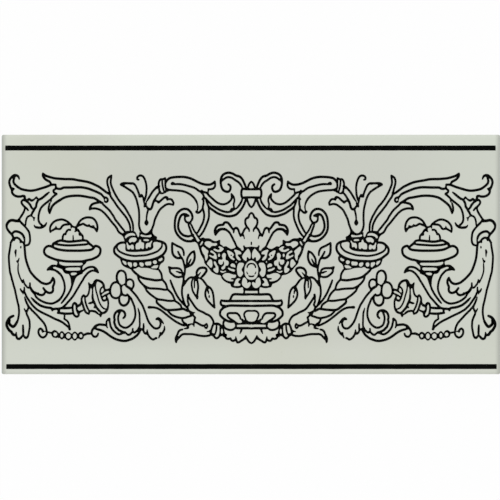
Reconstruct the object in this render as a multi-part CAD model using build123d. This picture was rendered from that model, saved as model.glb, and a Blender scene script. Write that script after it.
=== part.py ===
from build123d import *
import math
import os

# A pressed and glazed ceramic wall tile, made in one piece: a flat face with softly rounded
# edges, upright joint faces, and a back with keying grooves for the adhesive.
# Millimetres. +X runs along the tile, +Y across it towards the top of its pattern, and +Z out
# of the glazed face. The origin is the middle of the back, on its ribs.

# Driving dimensions
TILE_LENGTH = 249.5
TILE_WIDTH = 119.8
TILE_THICKNESS = 8.0
CORNER_RADIUS = 1.0  # of the outline, seen from above
CUSHION_RADIUS = 1.6  # rounding where the face meets the joint faces

# Lower part of the joint faces, which lean in towards the back
RELIEF_HEIGHT = 2.6
RELIEF_ANGLE = 12.0  # degrees from upright

# Keying grooves of the back
GROOVE_WIDTH = 6.0
GROOVE_DEPTH = 0.8
GROOVE_DRAFT = 30.0  # degrees from upright
GROOVE_END_RADIUS = 1.2
RIB_WIDTH = 3.0
RIM_WIDTH = 5.0  # least flat margin left round the grooves
CROSS_RIB_WIDTH = 8.0  # the rib across the middle of the back


def outline(height: float) -> Sketch:
    """The tile's outline as a level sketch at a height above the back."""
    shape = RectangleRounded(TILE_LENGTH, TILE_WIDTH, CORNER_RADIUS)
    return Pos(0, 0, height) * shape


def pressed_body() -> Part:
    """The tile without its grooves: upright joint faces above, and the leaning relief below."""
    joint_height = TILE_THICKNESS - RELIEF_HEIGHT
    upper = extrude(outline(RELIEF_HEIGHT), amount=joint_height)
    face_edges = upper.edges().group_by(Axis.Z)[-1]
    upper = fillet(face_edges, radius=CUSHION_RADIUS)
    lower = extrude(outline(RELIEF_HEIGHT), amount=RELIEF_HEIGHT, dir=(0, 0, -1), taper=RELIEF_ANGLE)
    return upper + lower


def keying_grooves() -> list[Part]:
    """Two columns of shallow grooves along the back, split by the cross rib."""
    relief_inset = RELIEF_HEIGHT * math.tan(math.radians(RELIEF_ANGLE))
    back_length = TILE_LENGTH - 2 * relief_inset
    back_width = TILE_WIDTH - 2 * relief_inset
    groove_length = (back_length - CROSS_RIB_WIDTH) / 2 - RIM_WIDTH
    pitch = GROOVE_WIDTH + RIB_WIDTH
    pairs = int((back_width - 2 * RIM_WIDTH + RIB_WIDTH) // (2 * pitch))
    mouth = RectangleRounded(groove_length, GROOVE_WIDTH, GROOVE_END_RADIUS)
    groove = extrude(mouth, amount=GROOVE_DEPTH, taper=GROOVE_DRAFT)
    column_spacing = groove_length + CROSS_RIB_WIDTH
    return GridLocations(column_spacing, pitch, 2, 2 * pairs) * groove


def tile() -> Part:
    """The whole tile, one solid."""
    return pressed_body() - keying_grooves()


os.makedirs("parts", exist_ok=True)
export_step(tile(), "parts/tile.step")
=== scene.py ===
import logging
import math
from dataclasses import dataclass, field
from enum import Enum
from typing import Any, Union

import bpy
import numpy as np
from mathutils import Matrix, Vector
from mathutils.geometry import delaunay_2d_cdt

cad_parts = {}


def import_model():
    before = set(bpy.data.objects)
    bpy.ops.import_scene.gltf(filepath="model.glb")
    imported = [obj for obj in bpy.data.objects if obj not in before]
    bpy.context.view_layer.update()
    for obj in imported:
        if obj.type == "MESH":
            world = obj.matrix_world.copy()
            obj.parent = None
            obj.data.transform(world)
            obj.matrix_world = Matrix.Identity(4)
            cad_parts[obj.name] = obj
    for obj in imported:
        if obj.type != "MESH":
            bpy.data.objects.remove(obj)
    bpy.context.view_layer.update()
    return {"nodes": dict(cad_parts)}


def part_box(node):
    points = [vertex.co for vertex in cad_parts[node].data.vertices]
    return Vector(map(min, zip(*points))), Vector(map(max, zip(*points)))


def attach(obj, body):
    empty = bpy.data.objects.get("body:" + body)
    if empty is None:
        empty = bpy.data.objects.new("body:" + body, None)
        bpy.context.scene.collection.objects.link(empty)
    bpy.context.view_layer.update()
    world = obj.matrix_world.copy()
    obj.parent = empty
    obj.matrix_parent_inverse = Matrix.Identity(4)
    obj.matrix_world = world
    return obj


# A glazed accent tile, printed in black with a frieze that mirrors about its upright axis.
# The drawing below is in millimetres on the tile's face: x from the axis, y up from the middle.
# Only the right half is drawn. The left half is its mirror image, shifted a little along the tile.

LOG = logging.getLogger("accent_tile")
MM = 0.001
NOUGHT = 1e-12  # stands in for a length of nought where something is divided by it
LEAST_SPAN = 1e-3  # keeps apart two points of a path that lie on each other
WELD = 1e-7  # points of a print that are closer than this become one
OVAL_POINTS = 12

Point = tuple[float, float]


class Pen(Enum):
    """Widths in millimetres of the lines in the printed drawing."""

    HAIR = 0.58
    FINE = 0.8
    LIGHT = 0.97
    PLAIN = 1.08
    FULL = 1.2
    BROAD = 1.4


@dataclass(frozen=True)
class Line:
    """A pen line through given points, with a share of its width left at each end."""

    points: tuple[Point, ...]
    pen: Pen
    start: float
    end: float


@dataclass(frozen=True)
class Blot:
    """A closed shape filled with ink."""

    points: tuple[Point, ...]


@dataclass(frozen=True)
class Gap:
    """A closed shape of bare glaze inside an inked one."""

    points: tuple[Point, ...]


Mark = Union[Line, Blot, Gap]


def read_path(path: str) -> tuple[Point, ...]:
    """Read the points of a path.

    Args:
        path: its points in order, each written as across,up in millimetres.

    Returns:
        The points.
    """
    pairs = [pair.split(",") for pair in path.split()]
    return tuple((float(x), float(y)) for x, y in pairs)


def line(path: str, pen: Pen = Pen.PLAIN, start: float = 0.85, end: float = 0.85) -> Line:
    """Draw one pen line.

    Args:
        path: the points it passes through.
        pen: the pen it is drawn with.
        start: the share of the pen's width at its first point.
        end: the share of the pen's width at its last point.

    Returns:
        The line.
    """
    return Line(read_path(path), pen, start, end)


def blot(path: str) -> Blot:
    """Fill a closed shape with ink and return it."""
    return Blot(read_path(path))


def gap(path: str) -> Gap:
    """Leave a closed shape bare and return it."""
    return Gap(read_path(path))


def oval(x: float, y: float, half_width: float, half_height: float) -> tuple[Point, ...]:
    """Give the points of an upright oval.

    Args:
        x: its middle, across.
        y: its middle, up.
        half_width: half its width.
        half_height: half its height.

    Returns:
        Its points, anticlockwise.
    """
    turns = [2 * math.pi * step / OVAL_POINTS for step in range(OVAL_POINTS)]
    return tuple((x + half_width * math.cos(turn), y + half_height * math.sin(turn)) for turn in turns)


def smooth_path(points: tuple[Point, ...], closed: bool, step: float) -> np.ndarray:
    """Run a smooth curve through given points.

    Args:
        points: the points, in millimetres.
        closed: whether the curve comes back to its first point.
        step: the longest piece of the curve between two results.

    Returns:
        The curve's points, one row each.
    """
    if closed:
        ring = (points[-1],) + points + (points[0], points[1])
    else:
        first = (2 * points[0][0] - points[1][0], 2 * points[0][1] - points[1][1])
        last = (2 * points[-1][0] - points[-2][0], 2 * points[-1][1] - points[-2][1])
        ring = (first,) + points + (last,)
    knots = np.array(ring, dtype=float)
    result: list[np.ndarray] = []
    for index in range(1, len(knots) - 2):
        before, here, there, after = knots[index - 1:index + 3]
        spans = [max(math.sqrt(float(np.linalg.norm(pair))), LEAST_SPAN)
                 for pair in (here - before, there - here, after - there)]
        leave = (here - before) / spans[0] - (there - before) / (spans[0] + spans[1])
        leave = (leave + (there - here) / spans[1]) * spans[1]
        arrive = (there - here) / spans[1] - (after - here) / (spans[1] + spans[2])
        arrive = (arrive + (after - there) / spans[2]) * spans[1]
        count = max(1, math.ceil(float(np.linalg.norm(there - here)) / step))
        along = (np.arange(count) / count)[:, None]
        cubed, squared = along ** 3, along ** 2
        result.append((2 * cubed - 3 * squared + 1) * here + (cubed - 2 * squared + along) * leave
                      + (3 * squared - 2 * cubed) * there + (cubed - squared) * arrive)
    if not closed:
        result.append(knots[-2][None, :])
    return np.concatenate(result)


def left_of(start: np.ndarray, end: np.ndarray, across: np.ndarray, up: np.ndarray) -> np.ndarray:
    """Tell which places have a short straight piece on their right, at their own height.

    Args:
        start: the piece's first end.
        end: the piece's last end.
        across: the places across.
        up: the places up.

    Returns:
        One truth value for each place.
    """
    level = (up > min(start[1], end[1])) & (up <= max(start[1], end[1]))
    rise = float(end[1] - start[1]) or NOUGHT
    return level & (across < start[0] + (up - start[1]) * (end[0] - start[0]) / rise)


@dataclass
class InkField:
    """A sheet of distances to the nearest edge of the ink, below nought where there is ink."""

    low: Point
    high: Point
    pitch: float = 0.07  # between the places where the distance is kept
    reach: float = 1.6  # the longest distance that is kept
    step: float = 0.22  # the longest straight piece of a curve
    swell: float = 1.6  # how far from its end a line has its full width
    flat_nib: float = 0.06  # how much wider level lines are on each side
    spread: float = 0.1  # how far the ink runs
    run_depth: float = 0.6  # the longest distance that the running takes in
    dry: float = 1e-9  # the distance at a place that lies right on the edge
    depth: np.ndarray = field(init=False)

    def __post_init__(self) -> None:
        """Start with an empty sheet."""
        columns = math.ceil((self.high[0] - self.low[0]) / self.pitch) + 1
        rows = math.ceil((self.high[1] - self.low[1]) / self.pitch) + 1
        self.depth = np.full((rows, columns), self.reach)

    def _window(self, low: np.ndarray, high: np.ndarray) -> tuple[slice, slice, np.ndarray, np.ndarray]:
        """Find the part of the sheet near a shape.

        Args:
            low: the shape's lowest corner.
            high: the shape's highest corner.

        Returns:
            Its rows, its columns, and the places of both in millimetres.
        """
        first = np.floor((low - self.reach - self.low) / self.pitch).astype(int)
        last = np.ceil((high + self.reach - self.low) / self.pitch).astype(int) + 1
        rows = slice(max(first[1], 0), max(min(last[1], self.depth.shape[0]), 0))
        columns = slice(max(first[0], 0), max(min(last[0], self.depth.shape[1]), 0))
        across = self.low[0] + np.arange(columns.start, columns.stop) * self.pitch
        up = self.low[1] + np.arange(rows.start, rows.stop)[:, None] * self.pitch
        return rows, columns, across, up

    def _distance(self, start: np.ndarray, end: np.ndarray, across: np.ndarray,
                  up: np.ndarray) -> tuple[np.ndarray, np.ndarray]:
        """Measure how far each place is from a short straight piece.

        Args:
            start: the piece's first end.
            end: the piece's last end.
            across: the places across.
            up: the places up.

        Returns:
            The distances, and how far along the piece each nearest point is, from 0 to 1.
        """
        run = end - start
        length = float(run @ run) or NOUGHT
        share = np.clip(((across - start[0]) * run[0] + (up - start[1]) * run[1]) / length, 0, 1)
        return np.hypot(across - start[0] - share * run[0], up - start[1] - share * run[1]), share

    def lay(self, mark: Mark) -> None:
        """Put one mark on the sheet, over those before it.

        Args:
            mark: the mark.
        """
        if isinstance(mark, Line):
            self._lay_line(mark)
        else:
            self._lay_shape(mark)

    def _lay_line(self, mark: Line) -> None:
        """Draw a pen line on the sheet.

        Args:
            mark: the line.
        """
        path = smooth_path(mark.points, False, self.step)
        runs = np.linalg.norm(np.diff(path, axis=0), axis=1)
        place = np.concatenate([[0], np.cumsum(runs)])
        ease = min(self.swell, place[-1] / 2)
        lead = np.clip(place / ease, 0, 1)
        tail = np.clip((place[-1] - place) / ease, 0, 1)
        share = (mark.start + (1 - mark.start) * lead) * (mark.end + (1 - mark.end) * tail)
        half = mark.pen.value / 2 * share
        for index in range(len(path) - 1):
            start, end = path[index], path[index + 1]
            flat = self.flat_nib * abs(end[0] - start[0]) / max(runs[index], NOUGHT)
            rows, columns, across, up = self._window(np.minimum(start, end), np.maximum(start, end))
            distance, along = self._distance(start, end, across, up)
            distance -= half[index] + (half[index + 1] - half[index]) * along + flat
            self.depth[rows, columns] = np.minimum(self.depth[rows, columns], distance)

    def _lay_shape(self, mark: Union[Blot, Gap]) -> None:
        """Fill or bare a closed shape on the sheet.

        Args:
            mark: the shape.
        """
        path = smooth_path(mark.points, True, self.step)
        rows, columns, across, up = self._window(path.min(axis=0), path.max(axis=0))
        odd = np.zeros((up.shape[0], across.shape[0]), dtype=bool)
        distance = np.full(odd.shape, self.reach)
        for start, end in zip(path, np.roll(path, -1, axis=0)):
            near, _ = self._distance(start, end, across, up)
            distance = np.minimum(distance, near)
            odd ^= left_of(start, end, across, up)
        distance = np.where(odd, -distance, distance)
        sheet = self.depth[rows, columns]
        if isinstance(mark, Blot):
            self.depth[rows, columns] = np.minimum(sheet, distance)
        else:
            self.depth[rows, columns] = np.maximum(sheet, -distance)

    def unfold(self) -> None:
        """Open the sheet out about its left side, which becomes the axis."""
        self.depth = np.concatenate([self.depth[:, :0:-1], self.depth], axis=1)
        self.low = (-(self.depth.shape[1] // 2) * self.pitch, self.low[1])

    def soften(self) -> None:
        """Let the ink run a little, which rounds its corners and fills its tight joins."""
        reach = math.ceil(3 * self.spread / self.pitch)
        weights = np.exp(-0.5 * (np.arange(-reach, reach + 1) * self.pitch / self.spread) ** 2)
        weights /= weights.sum()
        sheet = np.clip(self.depth, -self.run_depth, self.run_depth)
        for axis in (0, 1):
            padded = np.pad(sheet, [(reach, reach) if side == axis else (0, 0) for side in (0, 1)],
                            mode="edge")
            size = sheet.shape[axis]
            sheet = sum(weight * np.take(padded, range(shift, shift + size), axis=axis)
                        for shift, weight in enumerate(weights))
        self.depth = sheet

    def outlines(self, slack: float = 0.012) -> list[np.ndarray]:
        """Trace the edges of the ink.

        Args:
            slack: how far, in millimetres, a dropped point may lie from the edge.

        Returns:
            Closed rings of points, with the ink on their left.
        """
        sheet = np.where(self.depth == 0, self.dry, self.depth)
        wet = sheet < 0
        # Each square has a code for its inked corners, and each code the sides that the edge joins
        code = wet[:-1, :-1] + 2 * wet[:-1, 1:] + 4 * wet[1:, 1:] + 8 * wet[1:, :-1]
        turns = {1: "03", 2: "10", 4: "21", 8: "32", 3: "13", 6: "20", 12: "31", 9: "02",
                 7: "23", 11: "12", 13: "01", 14: "30", 5: "0321", 10: "1032"}
        follow: dict[tuple[int, int, int], tuple[int, int, int]] = {}
        for row, column in zip(*np.nonzero((code > 0) & (code < 15))):
            sides = ((0, row, column), (1, row, column + 1), (0, row + 1, column), (1, row, column))
            turn = turns[int(code[row, column])]
            for start, end in zip(turn[::2], turn[1::2]):
                follow[sides[int(start)]] = sides[int(end)]
        rings: list[np.ndarray] = []
        while follow:
            first, here = follow.popitem()
            keys = [first]
            while here != first:
                keys.append(here)
                here = follow.pop(here)
            rings.append(self._thin(np.array([self._crossing(sheet, key) for key in keys]), slack))
        return [ring for ring in rings if len(ring) > 2]

    def _crossing(self, sheet: np.ndarray, key: tuple[int, int, int]) -> Point:
        """Find where the ink's edge crosses one side of the sheet's squares.

        Args:
            sheet: the distances.
            key: the side's direction, row and column.

        Returns:
            The place in millimetres.
        """
        upright, row, column = key
        here = sheet[row, column]
        there = sheet[row + 1, column] if upright else sheet[row, column + 1]
        share = here / (here - there)
        across = column + (0 if upright else share)
        up = row + (share if upright else 0)
        return self.low[0] + across * self.pitch, self.low[1] + up * self.pitch

    def _thin(self, ring: np.ndarray, slack: float) -> np.ndarray:
        """Drop the points of a ring that its shape doesn't need.

        Args:
            ring: the ring's points.
            slack: how far a dropped point may lie from the edge.

        Returns:
            The points that are left.
        """
        far = int(np.argmax(np.linalg.norm(ring - ring[0], axis=1)))
        loop = np.concatenate([ring, ring[:1]])
        keep = {0, far}
        spans = [(0, far), (far, len(ring))]
        while spans:
            start, end = spans.pop()
            if end - start < 2:
                continue
            run = loop[end] - loop[start]
            length = float(np.hypot(*run)) or NOUGHT
            between = loop[start + 1:end] - loop[start]
            off = np.abs(between[:, 0] * run[1] - between[:, 1] * run[0]) / length
            worst = int(np.argmax(off))
            if off[worst] > slack:
                middle = start + 1 + worst
                keep.add(middle)
                spans += [(start, middle), (middle, end)]
        return ring[sorted(keep)]


@dataclass(frozen=True)
class PrintedFace:
    """Where the print lies on the tile: its middle, in the tile's millimetres, and its heights."""

    middle_x: float = 0.125
    middle_y: float = -0.41
    sunk: float = 0.02  # how far the fired ink reaches into the glaze
    thickness: float = 0.035  # how far it stands above the glaze
    slip_places: tuple[float, ...] = (-97.2, -95.6, -1.0, 1.0)  # along the tile
    slips: tuple[float, ...] = (-0.37, 0.1, 0.1, 0.0)  # how far the print is shifted there

    def slipped(self, ring: np.ndarray) -> np.ndarray:
        """Shift the left half of the drawing to where it is printed, its outer end most.

        Args:
            ring: points of the drawing.

        Returns:
            The shifted points.
        """
        shift = np.interp(ring[:, 0], self.slip_places, self.slips)
        return ring + np.column_stack([shift, np.zeros(len(ring))])

    def height(self) -> float:
        """Give the height of the glazed face, in millimetres."""
        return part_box("tile")[1][2] / MM


@dataclass
class Motif:
    """One part of the printed frieze, drawn for the right half and mirrored for the left.

    Its marks are laid in their order, and an inked one covers the gaps before it.
    """

    name: str = ""
    on_axis: bool = False
    marks: tuple[Mark, ...] = ()
    margin: float = 1.8  # bare sheet kept round the marks
    stand_off: float = 0.125  # how far each half of the drawing stands off the axis

    def rings(self) -> list[np.ndarray]:
        """Draw the marks and trace the edges of their ink.

        Returns:
            Closed rings of points on both halves, with the ink on their left.
        """
        places = np.array([place for mark in self.marks for place in mark.points])
        low, high = places.min(axis=0) - self.margin, places.max(axis=0) + self.margin
        if self.on_axis:
            low[0] = -self.stand_off
        sheet = InkField((float(low[0]), float(low[1])), (float(high[0]), float(high[1])))
        for mark in self.marks:
            sheet.lay(mark)
        if self.on_axis:
            sheet.unfold()
        sheet.soften()
        if self.on_axis:
            return sheet.outlines()
        half = [ring + (self.stand_off, 0) for ring in sheet.outlines()]
        return half + [ring[::-1] * (-1, 1) for ring in half]

    def build(self, face: PrintedFace, ink: bpy.types.Material) -> bpy.types.Object:
        """Make the motif's raised ink as one mesh.

        Args:
            face: where the print lies.
            ink: the ink's material.

        Returns:
            The piece, riding on the tile.
        """
        return raise_ink(self.name, [face.slipped(ring) for ring in self.rings()], face, ink)


def inside(rings: list[np.ndarray], places: np.ndarray) -> np.ndarray:
    """Tell which places lie inside an odd number of rings.

    Args:
        rings: closed rings of points.
        places: the places, one row each.

    Returns:
        One truth value for each place.
    """
    odd = np.zeros(len(places), dtype=bool)
    for ring in rings:
        for start, end in zip(ring, np.roll(ring, -1, axis=0)):
            odd ^= left_of(start, end, places[:, 0], places[:, 1])
    return odd


def raise_ink(name: str, rings: list[np.ndarray], face: PrintedFace,
              ink: bpy.types.Material) -> bpy.types.Object:
    """Make a closed mesh of ink from the rings round it.

    Args:
        name: the piece's name.
        rings: rings of points in millimetres, with the ink on their left.
        face: where the print lies.
        ink: the ink's material.

    Returns:
        The piece, riding on the tile.
    """
    places: list[Vector] = []
    loops: list[list[int]] = []
    for ring in rings:
        loops.append(list(range(len(places), len(places) + len(ring))))
        places += [Vector((float(x), float(y))) for x, y in ring]
    flat, _, triangles, _, _, _ = delaunay_2d_cdt(places, [], loops, 0, WELD)
    spots = np.array([place[:] for place in flat])
    inked = [tuple(triangle) for triangle, wet in
             zip(triangles, inside(rings, spots[np.array(triangles)].mean(axis=1))) if wet]
    edges = {(tri[side], tri[(side + 1) % 3]) for tri in inked for side in range(3)}
    rim = [edge for edge in edges if (edge[1], edge[0]) not in edges]
    count = len(flat)
    low, high = face.height() - face.sunk, face.height() + face.thickness
    verts = [((place.x + face.middle_x) * MM, (place.y + face.middle_y) * MM, level * MM)
             for level in (low, high) for place in flat]
    faces = [tuple(corner + count for corner in triangle) for triangle in inked]
    faces += [triangle[::-1] for triangle in inked]
    faces += [(start, end, end + count, start + count) for start, end in sorted(rim)]
    mesh = bpy.data.meshes.new(name)
    mesh.from_pydata(verts, [], faces)
    mesh.validate()
    mesh.materials.append(ink)
    piece = bpy.data.objects.new(name, mesh)
    bpy.context.scene.collection.objects.link(piece)
    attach(piece, "root")
    return piece


@dataclass
class KnotScrolls(Motif):
    """The strapwork knot at the top of the middle, its scrolls, and the crescents under them."""

    name: str = "knot_scrolls"
    on_axis: bool = True
    marks: tuple[Mark, ...] = (
        line("0,33 2.4,33.1 4.4,33.1 4.8,32.4 4.95,31 4.8,29.6 4.4,28.9 2.4,28.9 0,29", Pen.FULL),
        line("0,36.8 0.8,36 1.4,34.7 1.7,33.6"),
        line("2.5,33.6 3.4,35.9 4.3,37.8 5.4,39.1 6.6,39.7 7.6,39.9 9.2,40.8 11,41.3 12.8,41 14.1,40.2 "
             "14.95,38.9 15.25,37.2 15.15,35.5 14.8,34 14.1,32.7 13,32 12,31.75 11.1,32 10.5,32.9 10.3,34 "
             "10.6,34.9 11.4,35.5", Pen.FULL, end=0.9),
        Blot(oval(6.7, 39.4, 0.8, 0.5)),
        line("4.4,33.7 5.2,35.2 6.3,36.5 8,37.6 9.6,38.7 11.2,39.1 12.6,38.8 14,37.8 15,37"),
        blot("13.9,38.2 14.7,38.8 15.2,38 15.2,36 14.8,35.9 14.5,36.8 14.6,37.6"),
        line("2.2,28.6 1.7,26.8 0.9,25 0,24"),
        line("2.6,28.4 3.2,26.4 4,24.6 5,23 6.3,21.5 7.5,20.4 9,19.8 11,19.5 13,19.7 15,20.3 17,21.1 "
             "19,22.5 20.2,23.3 21,24.1", Pen.FULL),
        line("4.4,28.4 5,26.6 6,25 7,23.8"),
        blot("6.6,23.9 8,23.8 9.9,23.7 10.8,22.5 11.1,21.3 10,21.3 8.6,22.3 7.2,23.1"),
        line("10.3,21.8 12,21.6 14,22 16,22.8 18,24 19.5,25 20.6,26.1 21.7,27.2 22.8,28.6"),
        line("9.8,30.6 9,29.6 8.5,28.4 8.4,27 8.8,25.7 8.7,24.6 8.5,23.5", Pen.LIGHT),
        line("9.9,30.7 9.8,29.8 9.7,28.6 10.3,27.5 11.3,26.5 12.5,25.8 14,25.5 15.5,25.7 17.2,26.5 "
             "18.7,27.7 20,28.9 21.3,30.1 22.1,31.1 23.5,31.6 24.6,32"),
        blot("9.8,31 9.1,29.9 8.9,29 9.6,28.4 10.1,29.2 10.1,30.3"),
    )


@dataclass
class Plume(Motif):
    """The spread of plume leaves that stands over the basket."""

    name: str = "plume"
    on_axis: bool = True
    marks: tuple[Mark, ...] = (
        line("0,21.2 0.9,20.4 1.3,19.2 2,18.7 2.7,18.1 3,16.9 2.8,15.5 2.2,14.3 1.3,13.2 1,12.6 "
             "1,12", end=0.7),
        Blot(oval(1.6, 18.6, 0.5, 0.5)),
        line("2.2,14.1 3,13.4 3.6,12.5 4.1,11.4 4.7,10.4 5.2,9.7"),
        line("6.3,12.4 6.8,13.3 7.6,13.7 8.4,13.3 8.8,12.7", Pen.FULL),
        line("6.4,12.9 6.2,12 5.9,11.1 5.6,10.3 5.2,9.7"),
        blot("4,11.2 5,10.9 5.9,11.2 6,10 5.4,9.1 4.6,9.5 4,9.3 3.6,8.1 3.2,8.1 3.3,9.4 3.6,10.4"),
        line("8.5,13.2 8.7,12.3 8.8,11.3", end=0.7),
        line("9,12.8 9.9,14 10.8,15.3 11.6,16.2 12.6,16.5 13.5,16.2 13.9,15.4 15,15.2 16.5,14.9 17.5,14 "
             "18,13 18.2,12 18.1,11.1 17.9,10.3", Pen.FULL),
        blot("13.1,16.5 13.9,16.5 14.5,15.4 13.6,15"),
        line("17.8,10.2 17.4,10.9 16.9,11.6 16.2,12.3 15.2,12.9 14,13 12.8,12.8 11.8,12.2 10.9,11.4 "
             "10.2,10.3 9.5,9 8.85,7.6 8.2,6.4 7.7,5.2 7.2,4.3"),
        blot("16.9,12.2 17.8,12.9 18.5,12.2 18.4,10.8 18,9.9 17.5,10.6 17.1,11.4"),
        line("11.8,12.4 12.9,13.1 14.5,13.3 16,13 17,12.3", Pen.LIGHT),
        line("0,6.6 0,5.3", Pen.HAIR),
    )


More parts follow.
